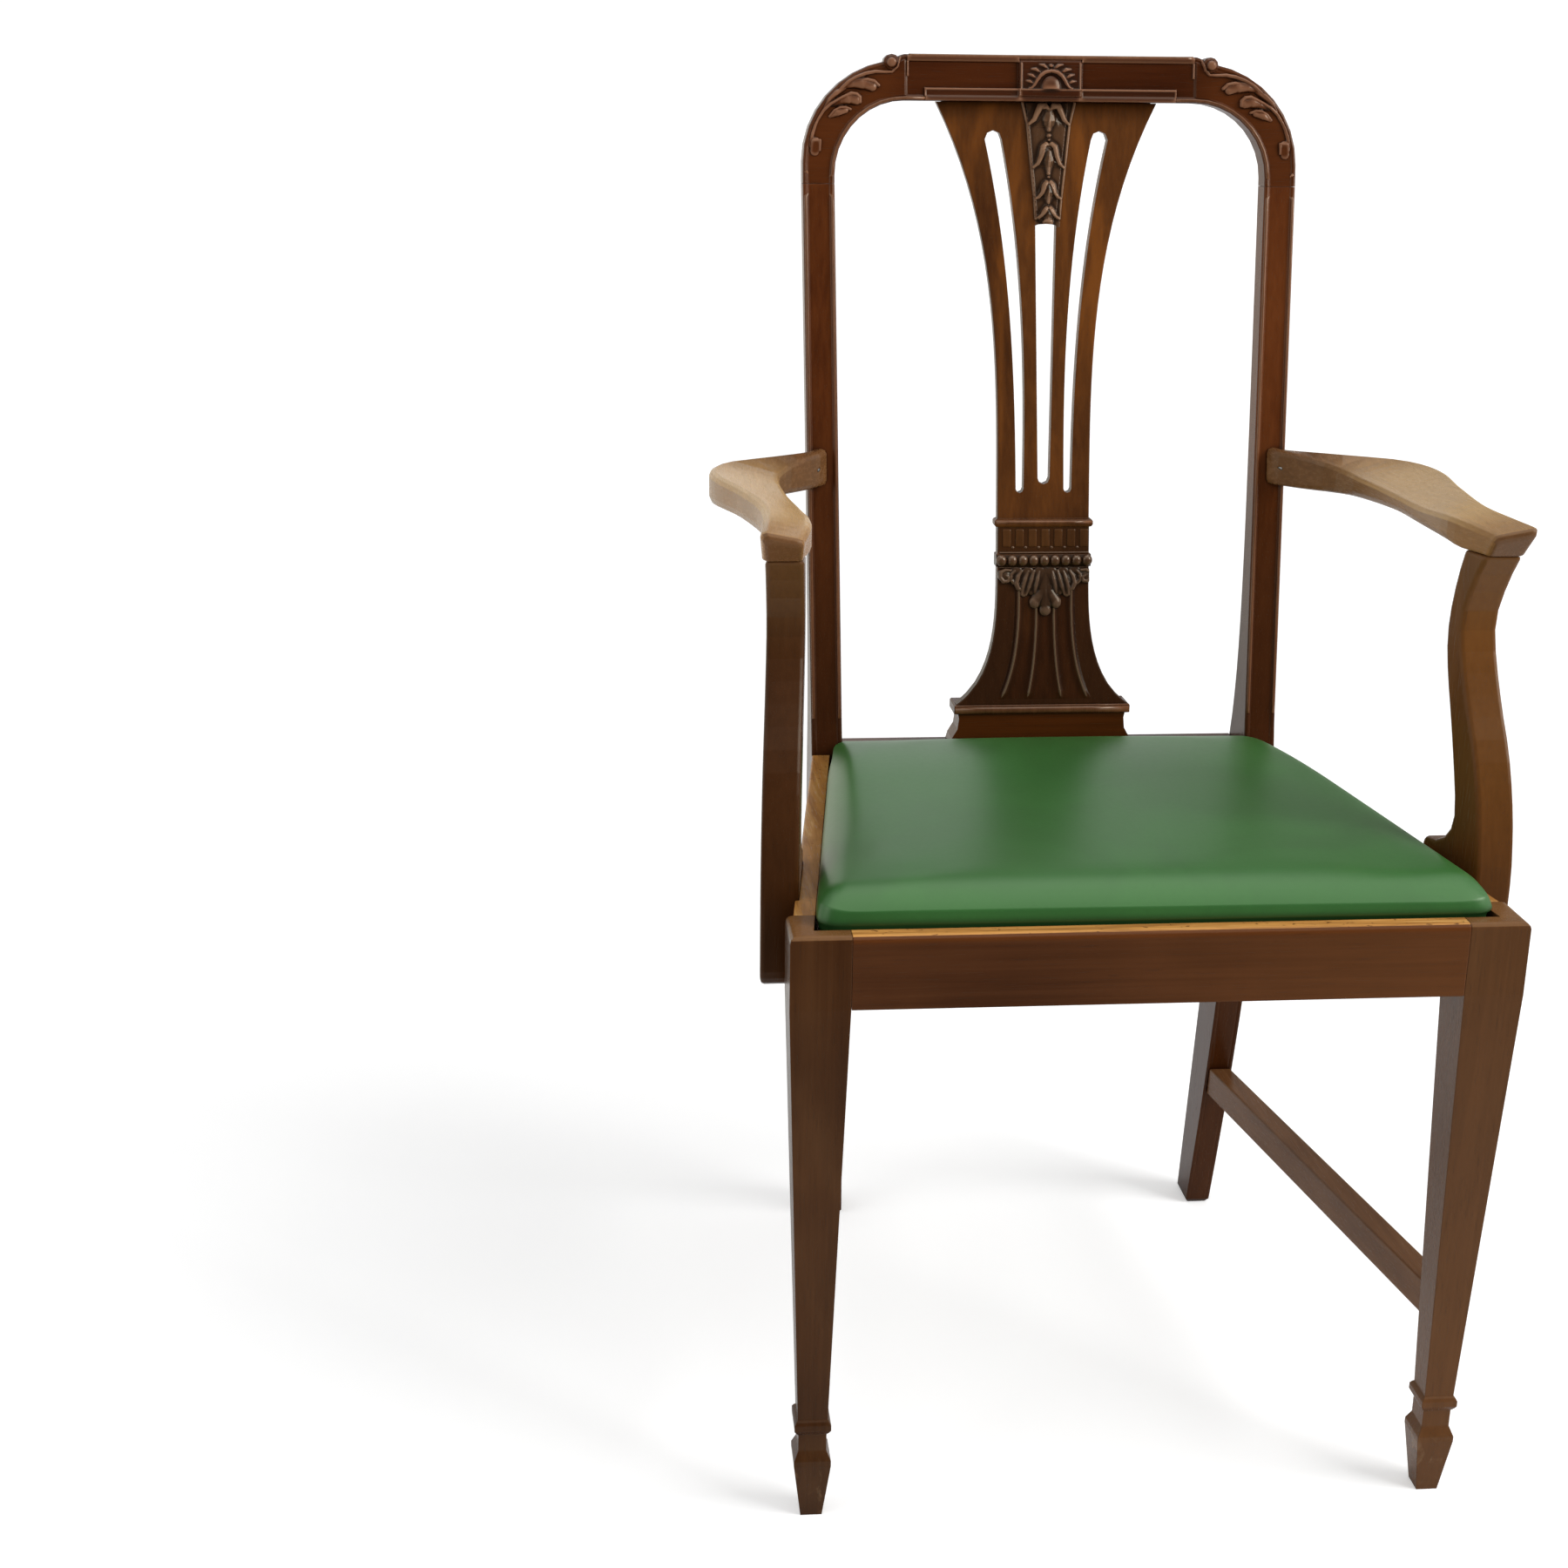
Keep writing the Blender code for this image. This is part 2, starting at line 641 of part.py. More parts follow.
def join_crest(crest, post, side):
    """Tenon on top of the post, in its mortise in the crest rail."""
    x = side * (post_outer(CREST_JOINT) - POST_WIDTH / 2.0)
    y = back_front(CREST_JOINT) + POST_DEPTH_TOP / 2.0
    size = (CREST_TENON_WIDTH, CREST_TENON_THICKNESS, 2.0 * CREST_TENON_LENGTH)
    tenon(post, crest, (x, y, CREST_JOINT), size)


# Splat and shoe

def splat_front(z):
    return SPLAT_FRONT + SPLAT_RAKE * (z - SEAT_HEIGHT)


def splat_half(z):
    """Half the splat's width above its waist."""
    rise = max(0.0, z - SPLAT_WAIST_HEIGHT) / (ARCH_TOP - SPLAT_WAIST_HEIGHT)
    return SPLAT_WAIST + (SPLAT_TOP - SPLAT_WAIST) * rise ** SPLAT_FLARE_POWER


def splat_base_half(z):
    """Half the width of the flared foot below the capital."""
    fall = max(0.0, (BEAD_ROW_HEIGHT - z) / (BEAD_ROW_HEIGHT - SHOE_TOP))
    spread = (1.0 - FLARE_TIP) * fall ** FLARE_POWER + FLARE_TIP * fall ** FLARE_TIP_POWER
    return SPLAT_WAIST + (SPLAT_BASE - SPLAT_WAIST) * spread


def splat_rings():
    """(height, half width, proud) of the splat from the shoe to the crest rail."""
    cap_top = CAP_HEIGHT + CAP_THICKNESS
    bead_top = BEAD_ROW_HEIGHT + BEAD_ROW_THICKNESS
    foot = SHOE_TOP + FIT
    low = [foot, foot + 0.002, foot + 0.0045]
    rows = [(z, splat_base_half(z), DRUM_PROUD) for z in low + steps(foot + 0.008, BEAD_ROW_HEIGHT - 0.0006, 12)]
    rows += [
        (BEAD_ROW_HEIGHT, BEAD_ROW_HALF_WIDTH, BEAD_ROW_PROUD - 0.0012),
        (BEAD_ROW_HEIGHT + 0.0025, BEAD_ROW_HALF_WIDTH, BEAD_ROW_PROUD),
        (bead_top - 0.0025, BEAD_ROW_HALF_WIDTH, BEAD_ROW_PROUD),
        (bead_top, BEAD_ROW_HALF_WIDTH, BEAD_ROW_PROUD - 0.0012),
        (bead_top + 0.0006, SPLAT_WAIST, DRUM_PROUD),
        (CAP_HEIGHT - 0.0006, SPLAT_WAIST, DRUM_PROUD),
        (CAP_HEIGHT, CAP_HALF_WIDTH - 0.0010, CAP_PROUD - 0.0010),
        (CAP_HEIGHT + 0.0016, CAP_HALF_WIDTH, CAP_PROUD),
        (cap_top - 0.0012, CAP_HALF_WIDTH, CAP_PROUD),
        (cap_top, CAP_HALF_WIDTH - 0.0010, CAP_PROUD - 0.0010),
        (cap_top + 0.0006, SPLAT_WAIST, 0.0),
    ]
    rows += [(z, splat_half(z), 0.0) for z in steps(SPLAT_WAIST_HEIGHT, ARCH_TOP - FIT, 20)]
    return rows


def slot_outline(centre, half, bottom, top, count, top_rise=1.0):
    """(x, z) outline of a slot whose middle and half width are functions of height."""
    right = []
    left = []
    low_end = half(bottom)
    high_end = half(top) * top_rise
    for z in steps(bottom + low_end, top - high_end, count):
        right.append((centre(z) + half(z), z))
        left.append((centre(z) - half(z), z))

    def cap(z, rise):
        points = []
        for step in (1, 2, 3):
            angle = math.pi * step / 4.0
            points.append((centre(z) + half(z) * math.cos(angle), z + rise * math.sin(angle)))
        return points

    top_cap = cap(top - high_end, high_end)
    bottom_cap = cap(bottom + low_end, -low_end)
    return right + top_cap + list(reversed(left)) + list(reversed(bottom_cap))


def splat_slab(outline, in_front, behind):
    """Slab through the splat with the given (x, z) outline."""
    front = [(x, splat_front(z) - in_front, z) for x, z in outline]
    back = [(x, splat_front(z) + behind, z) for x, z in outline]
    return loft([front, back])


def side_slot_rise(z):
    return max(0.0, z - SPLAT_WAIST_HEIGHT) / (ARCH_TOP - SPLAT_WAIST_HEIGHT)


def side_slot_centre(z):
    return SLOT_OFFSET_LOW + SLOT_OFFSET_TOP * side_slot_rise(z) ** SLOT_OFFSET_POWER


def side_slot_half(z):
    return SLOT_HALF_LOW + SLOT_HALF_TOP * side_slot_rise(z)


def centre_slot_half(z):
    share = (z - CENTRE_SLOT_BOTTOM) / (CENTRE_SLOT_TOP - CENTRE_SLOT_BOTTOM)
    return CENTRE_SLOT_HALF_LOW + (CENTRE_SLOT_HALF_TOP - CENTRE_SLOT_HALF_LOW) * share


def husk(index, z_top):
    """One carved bell flower of the drop: a small hood whose sides spread downwards."""
    size = 1.0 - HUSK_SHRINK * index
    shape = ((0.0, 0.16, 0.35), (0.15, 0.36, 0.85), (0.45, 0.50, 1.0), (0.75, 0.74, 0.85), (1.0, 0.98, 0.30))
    rings = []
    for down, half, proud in shape:
        z = z_top - down * HUSK_FALL * size
        width = half * HUSK_HALF * size
        front = splat_front(z)
        ring = []
        for step in range(8):
            angle = math.pi * step / 7.0
            rise = HUSK_PANEL_PROUD / 2.0 + HUSK_PROUD * proud * size
            lift = HUSK_PANEL_PROUD / 2.0 + rise * math.sin(angle)
            ring.append((width * math.cos(angle), front - lift, z))
        ring += [(-width, front + SPLAT_THICKNESS * 0.2, z), (width, front + SPLAT_THICKNESS * 0.2, z)]
        rings.append(ring)
    return loft(rings)


def splat():
    rings = []
    for z, half, proud in splat_rings():
        front = splat_front(z) - proud
        back = splat_front(z) + SPLAT_THICKNESS
        rings.append([
            (-half + 0.0008, front, z), (half - 0.0008, front, z),
            (half, front + 0.0008, z), (half, back - 0.0008, z),
            (half - 0.0008, back, z), (-half + 0.0008, back, z),
            (-half, back - 0.0008, z), (-half, front + 0.0008, z),
        ])
    piece = add("splat", loft(rings), SPLAT_WOOD, smooth=35.0)
    through_board = (SPLAT_THICKNESS, 2.0 * SPLAT_THICKNESS)
    for label, side in SIDES:
        outline = slot_outline(
            lambda z: side * side_slot_centre(z), side_slot_half, SLOT_BOTTOM, SLOT_TOP, 18)
        cutter = hide(add("splat_slot_" + label, splat_slab(outline, *through_board), SPLAT_WOOD))
        boolean(piece, cutter, "DIFFERENCE")
    outline = slot_outline(
        lambda z: 0.0, centre_slot_half, CENTRE_SLOT_BOTTOM, CENTRE_SLOT_TOP, 8, CENTRE_SLOT_TOP_RISE)
    cutter = hide(add("splat_slot_centre", splat_slab(outline, *through_board), SPLAT_WOOD))
    boolean(piece, cutter, "DIFFERENCE")
    panel_top = ARCH_TOP - 2.0 * FIT
    panel_low = HUSK_PANEL_BOTTOM + HUSK_PANEL_LOW_HALF * 0.5
    panel = [
        (-HUSK_PANEL_TOP_HALF, panel_top), (HUSK_PANEL_TOP_HALF, panel_top),
        (HUSK_PANEL_LOW_HALF, panel_low), (HUSK_PANEL_LOW_HALF * 0.5, HUSK_PANEL_BOTTOM),
        (-HUSK_PANEL_LOW_HALF * 0.5, HUSK_PANEL_BOTTOM), (-HUSK_PANEL_LOW_HALF, panel_low),
    ]
    raised = splat_slab(panel, HUSK_PANEL_PROUD, SPLAT_THICKNESS * 0.5)
    boolean(piece, hide(add("husk_panel", raised, SPLAT_WOOD)), "UNION")
    for index, z_top in enumerate(HUSK_TOPS):
        flower = hide(add("husk_%d" % (index + 1), husk(index, z_top), SPLAT_WOOD))
        boolean(piece, flower, "UNION")
    return piece


def tongue(half, low, high, extra):
    """Slab that joins the splat to the crest rail or to the shoe."""
    outline = [
        (-half - extra, low - extra), (half + extra, low - extra),
        (half + extra, high + extra), (-half - extra, high + extra),
    ]
    front = -TONGUE_SHOULDER + extra
    back = SPLAT_THICKNESS - TONGUE_SHOULDER + extra
    return splat_slab(outline, front, back)


def shoe():
    """Block on the rear rail: a moulded top over hollow ends and a spreading foot."""
    moulding = SHOE_TOP - SHOE_MOULDING
    low = SEAT_HEIGHT + FIT
    rows = [
        (low, SHOE_FOOT_HALF, 0.0),
        (low + 0.006, SHOE_FOOT_HALF - 0.0016, 0.0),
        (low + 0.014, SHOE_HALF_WIDTH - 0.0035, 0.0),
        (moulding - 0.004, SHOE_WAIST_HALF, 0.0),
        (moulding, SHOE_WAIST_HALF + 0.0008, 0.0),
        (moulding + 0.0008, SHOE_HALF_WIDTH, SHOE_PROUD),
        (SHOE_TOP - 0.0012, SHOE_HALF_WIDTH, SHOE_PROUD),
        (SHOE_TOP, SHOE_HALF_WIDTH - 0.0012, SHOE_PROUD - 0.0010),
    ]
    front_face = splat_front(SHOE_TOP) - DRUM_PROUD
    rings = []
    for z, half, proud in rows:
        front = front_face - proud
        back = REAR_RAIL_BACK - SHOE_BACK_INSET
        rings.append([(-half, front, z), (half, front, z), (half, back, z), (-half, back, z)])
    return add("splat_shoe", loft(rings), MAHOGANY)


# Seat rails

def seat_corners(gap):
    """Plan corners of the seat well, drawn in by a gap, from the front left corner round."""
    front = FRONT_LIP + gap
    back = REAR_LIP_FRONT - gap
    post_face = POST_FRONT - gap
    between_posts = BACK_WIDTH / 2.0 - POST_WIDTH - gap
    lip = SIDE_LIP + gap
    right = [
        (side_inner(front, lip), front),
        (side_inner(post_face, lip), post_face),
        (between_posts, post_face),
        (between_posts, back),
    ]
    return [(-x, y) for x, y in right[:1]] + right + [(-x, y) for x, y in reversed(right[1:])]


def seat_well(name):
    """Cutter for the rebate: the seat's plan, from the ledge up."""
    return hide(add(name, prism(seat_corners(0.0), LEDGE, SEAT_HEIGHT + 0.05), BEECH))


def front_rail():
    """Rail between the front legs, its top front edge rounded."""
    half = LEG_CENTRE - LEG_SIDE / 2.0 - FIT
    section = [(0.0, RAIL_BOTTOM), (0.0, SEAT_HEIGHT - RAIL_EDGE_RADIUS)]
    for step in (1, 2, 3):
        angle = math.radians(30.0 * step)
        y = RAIL_EDGE_RADIUS * (1.0 - math.cos(angle))
        z = SEAT_HEIGHT - RAIL_EDGE_RADIUS * (1.0 - math.sin(angle))
        section.append((y, z))
    section += [(FRONT_RAIL_THICKNESS, SEAT_HEIGHT), (FRONT_RAIL_THICKNESS, RAIL_BOTTOM)]
    rings = [[(x, y, z) for y, z in section] for x in (-half, half)]
    return add("front_rail", loft(rings), MAHOGANY)


def side_rail(name, side):
    front = LEG_SIDE + FIT
    back = POST_FRONT - FIT
    outline = [
        (side * side_outer(front), front), (side * side_outer(back), back),
        (side * side_inner(back), back), (side * side_inner(front), front),
    ]
    rail = add(name, prism(outline, RAIL_BOTTOM, SEAT_HEIGHT), MAHOGANY)
    bevel(rail, RAIL_ARRIS)
    return rail


def rear_rail():
    half = BACK_WIDTH / 2.0 - POST_WIDTH - FIT
    outline = [
        (-half, REAR_RAIL_FRONT), (half, REAR_RAIL_FRONT),
        (half, REAR_RAIL_BACK), (-half, REAR_RAIL_BACK),
    ]
    return add("rear_rail", prism(outline, RAIL_BOTTOM, SEAT_HEIGHT), MAHOGANY)


def join_rails(front, rear, sides, legs, posts):
    """Tenon every seat rail into its leg or post."""
    z = RAIL_BOTTOM + TENON_ABOVE_RAIL_BOTTOM + TENON_HEIGHT / 2.0
    size = (2.0 * TENON_LENGTH, TENON_THICKNESS, TENON_HEIGHT)
    leg_face = LEG_CENTRE - LEG_SIDE / 2.0
    post_face = BACK_WIDTH / 2.0 - POST_WIDTH
    rail_middle = SIDE_RAIL_THICKNESS / 2.0
    for label, side in SIDES:
        tenon(front, legs[label], (side * leg_face, FRONT_RAIL_THICKNESS / 2.0, z), size)
        rear_y = (REAR_LIP_FRONT + REAR_RAIL_BACK) / 2.0
        tenon(rear, posts[label], (side * post_face, rear_y, z), size)
        long_way = (TENON_THICKNESS, 2.0 * TENON_LENGTH, TENON_HEIGHT)
        for target, y in ((legs[label], LEG_SIDE), (posts[label], POST_FRONT)):
            x = side * side_inner(y, rail_middle)
            tenon(sides[label], target, (x, y, z), long_way, side * SIDE_ANGLE)


# Side stretchers

def side_stretcher(name, side, leg, post):
    def leg_half(z):
        share = (z - COLLAR_TOP) / (RAIL_BOTTOM - COLLAR_TOP)
        return (ANKLE_SIDE + (LEG_SIDE - ANKLE_SIDE) * share) / 2.0

    middle_z = STRETCHER_TOP_FRONT - STRETCHER_HEIGHT / 2.0
    front_x = LEG_CENTRE
    back_x = post_outer(STRETCHER_TOP_BACK) - post_width(STRETCHER_TOP_BACK) / 2.0

    def end_front(z):
        return LEG_SIDE / 2.0 + leg_half(z) + FIT

    def end_back(z):
        return back_front(z) - FIT

    def ring(x, face, top):
        points = []
        low = top - STRETCHER_HEIGHT
        for across, z in ((-0.5, low), (0.5, low), (0.5, top), (-0.5, top)):
            points.append((side * (x + across * STRETCHER_WIDTH), face(z), z))
        return points

    rings = [ring(front_x, end_front, STRETCHER_TOP_FRONT), ring(back_x, end_back, STRETCHER_TOP_BACK)]
    piece = add(name, loft(rings), MAHOGANY)
    bevel(piece, RAIL_ARRIS)
    size = (STRETCHER_TENON_THICKNESS, 2.0 * STRETCHER_TENON_LENGTH, STRETCHER_TENON_HEIGHT)
    run = end_back(middle_z) - end_front(middle_z)
    angle = math.atan((front_x - back_x) / run)
    tenon(piece, leg, (side * front_x, end_front(middle_z), middle_z), size, side * angle)
    back_z = STRETCHER_TOP_BACK - STRETCHER_HEIGHT / 2.0
    tenon(piece, post, (side * back_x, end_back(back_z), back_z), size, side * angle)
    return piece


# Arms and supports

def support_plane(y, depth):
    """x of a plane in a support, the depth measured from the support's inner face."""
    return side_outer(y) + (FIT + depth - SUPPORT_HOUSING) / SIDE_COSINE


def support_front(z):
    """y of the support's front edge: upright by the rail, back at the elbow, forward at the hand."""
    elbow = SUPPORT_FRONT + 0.057
    curve = (
        (SEAT_HEIGHT, SUPPORT_FRONT),
        (SEAT_HEIGHT + 0.010, SUPPORT_FRONT + 0.0002),
        (SEAT_HEIGHT + 0.050, SUPPORT_FRONT + 0.0070),
        (SEAT_HEIGHT + 0.090, SUPPORT_FRONT + 0.0205),
        (SEAT_HEIGHT + 0.125, SUPPORT_FRONT + 0.0390),
        (SEAT_HEIGHT + 0.165, elbow - 0.0015),
        (SEAT_HEIGHT + 0.185, elbow - 0.0010),
        (ARM_JOINT - 0.011, SUPPORT_FRONT + 0.0412),
        (ARM_JOINT + 0.001, SUPPORT_FRONT + 0.0330),
    )
    return through(curve, z)


def support_back(z):
    """y of the support's rear edge, above its spreading base."""
    waist = SUPPORT_FRONT + 0.0400
    curve = (
        (SUPPORT_COVE_TOP, waist),
        (SEAT_HEIGHT + 0.055, waist + 0.0025),
        (SEAT_HEIGHT + 0.099, waist + 0.0162),
        (SEAT_HEIGHT + 0.146, waist + 0.0323),
        (SEAT_HEIGHT + 0.173, waist + 0.0356),
        (SEAT_HEIGHT + 0.206, waist + 0.0303),
        (ARM_JOINT, waist + 0.0226),
    )
    return through(curve, z)


def support_outline():
    """(y, z) outline from the bottom front corner up, over the head and down the back."""
    base_back = SUPPORT_FRONT + SUPPORT_BASE_DEPTH
    corner = SUPPORT_CORNER
    bottom = []
    for step in range(5):
        angle = math.radians(90.0 * step / 4.0)
        y = SUPPORT_FRONT + corner * (1.0 - math.sin(angle))
        bottom.append((y, SUPPORT_BOTTOM + corner * (1.0 - math.cos(angle))))
    front = [(support_front(z), z) for z in steps(SEAT_HEIGHT, ARM_JOINT - FIT, 16)]
    back = [(support_back(z), z) for z in steps(ARM_JOINT - FIT, SUPPORT_COVE_TOP, 13)]
    shoulder = SEAT_HEIGHT + SUPPORT_SHOULDER
    cove_radius = SUPPORT_COVE_TOP - shoulder
    cove_depth = base_back - support_back(SUPPORT_COVE_TOP) - SUPPORT_SHOULDER * 0.3
    cove = []
    for step in range(1, 5):
        angle = math.radians(90.0 * step / 4.0)
        y = support_back(SUPPORT_COVE_TOP) + cove_depth * (1.0 - math.cos(angle))
        cove.append((y, SUPPORT_COVE_TOP - cove_radius * math.sin(angle)))
    base = [(base_back, shoulder - SUPPORT_SHOULDER * 0.3)]
    for step in range(5):
        angle = math.radians(90.0 * step / 4.0)
        y = base_back - corner * (1.0 - math.cos(angle))
        base.append((y, SUPPORT_BOTTOM + corner * (1.0 - math.sin(angle))))
    return bottom + front + back + cove + base


def arm_support(name, side, rail):
    """Board let into the side rail, sawn to an S and rounded on its edges."""
    outline = support_outline()
    rings = []
    for depth in (0.0, SUPPORT_THICKNESS):
        rings.append([(side * support_plane(y, depth), y, z) for y, z in outline])
    piece = add(name, loft(rings), WORN_WOOD, smooth=35.0)
    bevel(piece, SUPPORT_ARRIS)
    front = SUPPORT_FRONT - FIT
    back = SUPPORT_FRONT + SUPPORT_BASE_DEPTH + FIT
    seat = [
        (side * support_plane(front, -FIT), front), (side * support_plane(back, -FIT), back),
        (side * side_outer(back) + side * SUPPORT_HOUSING, back),
        (side * side_outer(front) + side * SUPPORT_HOUSING, front),
    ]
    housing = prism(seat, RAIL_BOTTOM - SUPPORT_HOUSING, SEAT_HEIGHT + SUPPORT_HOUSING)
    boolean(rail, hide(add(name + "_housing", housing, WORN_WOOD)), "DIFFERENCE")
    return piece


def arm_outer(y):
    """x of the arm's outer edge: in at the wrist, out round the elbow."""
    hand = support_plane(ARM_NOSE, SUPPORT_THICKNESS) + ARM_OVERHANG
    neck = BACK_WIDTH / 2.0 + ARM_END_INSET
    curve = (
        (ARM_NOSE, hand),
        (ARM_NOSE + 0.067, hand - 0.0068),
        (ARM_NOSE + 0.100, hand - 0.0050),
        (ARM_NOSE + 0.155, hand + 0.0048),
        (ARM_ELBOW, hand + ARM_SWELL),
        (POST_FRONT - 0.0365, hand + 0.0125),
        (POST_FRONT - 0.0175, neck + 0.0515),
        (POST_FRONT + 0.0005, neck + 0.0270),
        (POST_FRONT + 0.0200, neck + 0.0095),
        (back_front(ARM_HAND_TOP), neck),
    )
    return through(curve, y)


def arm_inner(y):
    """x of the arm's inner edge."""
    hand = support_plane(ARM_NOSE, 0.0)
    neck = BACK_WIDTH / 2.0 + ARM_END_INSET - ARM_END_WIDTH
    curve = (
        (ARM_NOSE, hand),
        (ARM_NOSE + 0.058, hand - 0.0105),
        (ARM_NOSE + 0.125, hand - 0.0095),
        (ARM_NOSE + 0.195, hand - 0.0050),
        (POST_FRONT - 0.0365, hand - 0.0050),
        (POST_FRONT - 0.0115, neck + 0.0363),
        (POST_FRONT + 0.0135, neck + 0.0183),
        (POST_FRONT + 0.0335, neck + 0.0043),
        (back_front(ARM_HAND_TOP), neck),
    )
    return through(curve, y)


def arm_outer_top(y):
    curve = (
        (ARM_NOSE, ARM_HAND_TOP + 0.0042),
        (ARM_NOSE + 0.067, ARM_HAND_TOP + 0.0062),
        (ARM_NOSE + 0.120, ARM_HAND_TOP + 0.0072),
        (ARM_ELBOW, ARM_HAND_TOP + 0.0052),
        (POST_FRONT, ARM_HAND_TOP + 0.0052),
        (back_front(ARM_HAND_TOP), ARM_HAND_TOP + 0.0022),
    )
    return through(curve, y)


def arm_inner_top(y):
    curve = (
        (ARM_NOSE, ARM_HAND_TOP - 0.0011),
        (ARM_NOSE + 0.058, ARM_HAND_TOP + 0.0022),
        (ARM_NOSE + 0.125, ARM_HAND_TOP - 0.0018),
        (ARM_ELBOW, ARM_HAND_TOP - 0.0042),
        (POST_FRONT - 0.0365, ARM_HAND_TOP - 0.0040),
        (POST_FRONT + 0.0060, ARM_HAND_TOP + 0.0015),
        (back_front(ARM_HAND_TOP), ARM_HAND_TOP + 0.0039),
    )
    return through(curve, y)


def arm_underside(y):
    """Flat on the support, hollow along the arm, down again at the post."""
    joint_back = support_back(ARM_JOINT)
    fall_start = joint_back + ARM_HOLLOW_LENGTH
    rise = smoothstep((y - joint_back) / ARM_HOLLOW_ENTRY)
    fall = smoothstep((y - fall_start) / (back_front(ARM_JOINT) - fall_start))
    return ARM_JOINT + ARM_HOLLOW * rise - (ARM_HOLLOW + ARM_END_DROP) * fall


def arm_section(y):
    """(x, height) ring at one place along an arm: its top slopes inwards, its inner side is cut under."""
    inner = arm_inner(y)
    outer = arm_outer(y)
    high_in = arm_inner_top(y)
    high_out = arm_outer_top(y)
    low = arm_underside(y)
    opening = smoothstep((y - ARM_NOSE - 0.040) / 0.05)
    edge = min(ARM_EDGE_ROUNDING, (outer - inner) * 0.28)
    low_edge = ARM_LOW_EDGE + (edge - ARM_LOW_EDGE) * opening
    turn = ARM_LOW_EDGE + (min(ARM_LOW_ROUNDING, (outer - inner) * 0.28) - ARM_LOW_EDGE) * opening
    return [
        (inner, high_in - edge),
        (inner + 0.3 * edge, high_in - 0.3 * edge),
        (inner + edge, high_in),
        (outer - edge, high_out),
        (outer - 0.3 * edge, high_out - 0.3 * edge),
        (outer, high_out - edge),
        (outer, low + turn),
        (outer - 0.3 * turn, low + 0.3 * turn),
        (outer - turn, low),
        (inner + low_edge, low),
        (inner + 0.3 * low_edge, low + 0.3 * low_edge),
        (inner, low + low_edge),
    ]


def arm_lean(x, y, z, centre):
    """Lean of the hand: below its top it is set back, and its outer side drawn in, to the support."""
    fade = max(0.0, 1.0 - (y - ARM_NOSE) / ARM_SLANT_FADE)
    share = fade * (ARM_HAND_TOP - z) / (ARM_HAND_TOP - ARM_JOINT)
    if x > centre:
        x -= ARM_OVERHANG * share
    return x, y + ARM_NOSE_SLANT * share, z


def arm(name, side):
    """Arm from the rounded hand to the end that is cut to the post's lean."""
    full = ARM_NOSE + ARM_NOSE_ROUNDING
    stations = []
    hand = arm_section(full)
    middle = (arm_inner(full) + arm_outer(full)) / 2.0
    half = (arm_outer(full) - arm_inner(full)) / 2.0
    for step in range(4):
        angle = math.radians(22.5 * step)
        pull = ARM_NOSE_ROUNDING * (1.0 - math.sin(angle))
        ring = []
        for x, z in hand:
            x = middle + (x - middle) * (1.0 - 0.4 * pull / half)
            ring.append((x, z - 0.8 * pull * (z - ARM_JOINT) / (ARM_HAND_TOP - ARM_JOINT)))
        stations.append((full - ARM_NOSE_ROUNDING * math.cos(angle), ring))
    for y in [full] + steps(full + 0.008, POST_FRONT + 0.030, 28):
        stations.append((y, arm_section(y)))
    rings = []
    for y, ring in stations:
        centre = (arm_inner(y) + arm_outer(y)) / 2.0
        leaned = [arm_lean(x, y, z, centre) for x, z in ring]
        rings.append([(side * x, back, z) for x, back, z in leaned])
    end = arm_section(back_front(ARM_HAND_TOP))
    rings.append([(side * x, back_front(z) - FIT, z) for x, z in end])
    return add(name, loft(rings), WORN_WOOD, smooth=35.0)


def join_arm(label, side, arm_piece, support, rail, post):
    """Dowel from support to arm, screw from post to arm, two screws from rail to support."""
    top_y = (support_front(ARM_JOINT) + support_back(ARM_JOINT)) / 2.0
    x = side * support_plane(top_y, SUPPORT_THICKNESS / 2.0)
    start = (x, top_y, ARM_JOINT - DOWEL_LENGTH * 0.5)

    def dowel(extra):
        grown = DOWEL_RADIUS + extra
        return ((-extra, grown), (DOWEL_LENGTH + extra, grown))

    add("arm_dowel_" + label, turned(start, (0.0, 0.0, 1.0), dowel(0.0)), BEECH, smooth=40.0)
    hole = hide(add("arm_dowel_hole_" + label, turned(start, (0.0, 0.0, 1.0), dowel(FIT)), BEECH))
    boolean(arm_piece, hole, "DIFFERENCE")
    boolean(support, hole, "DIFFERENCE")

    z = (ARM_HAND_TOP + ARM_JOINT) / 2.0
    x = side * (BACK_WIDTH / 2.0 + ARM_END_INSET - ARM_END_WIDTH / 2.0)
    head = (x, back_front(z) + post_depth(z) - SCREW_SINK, z + BACK_RAKE * post_depth(z))
    screw("arm_screw_" + label, head, (0.0, -1.0, -BACK_RAKE), ARM_SCREW_LENGTH, (post, arm_piece))

    for number, (y, height) in enumerate(((0.022, 0.030), (0.056, 0.014)), start=1):
        y += SUPPORT_FRONT
        z = RAIL_BOTTOM + height - 0.004
        head = (side * side_inner(y, SIDE_RAIL_THICKNESS - SCREW_SINK), y, z)
        direction = (side * 1.0, SIDE_TAPER, 0.0)
        name = "support_screw_%s_%d" % (label, number)
        screw(name, head, direction, SUPPORT_SCREW_LENGTH, (rail, support))


# Corner blocks

def corner_block(name, side, outline):
    high = LEDGE - BLOCK_BELOW_LEDGE
    block = add(name, prism([(side * x, y) for x, y in outline], high - BLOCK_THICKNESS, high), BEECH)
    return block


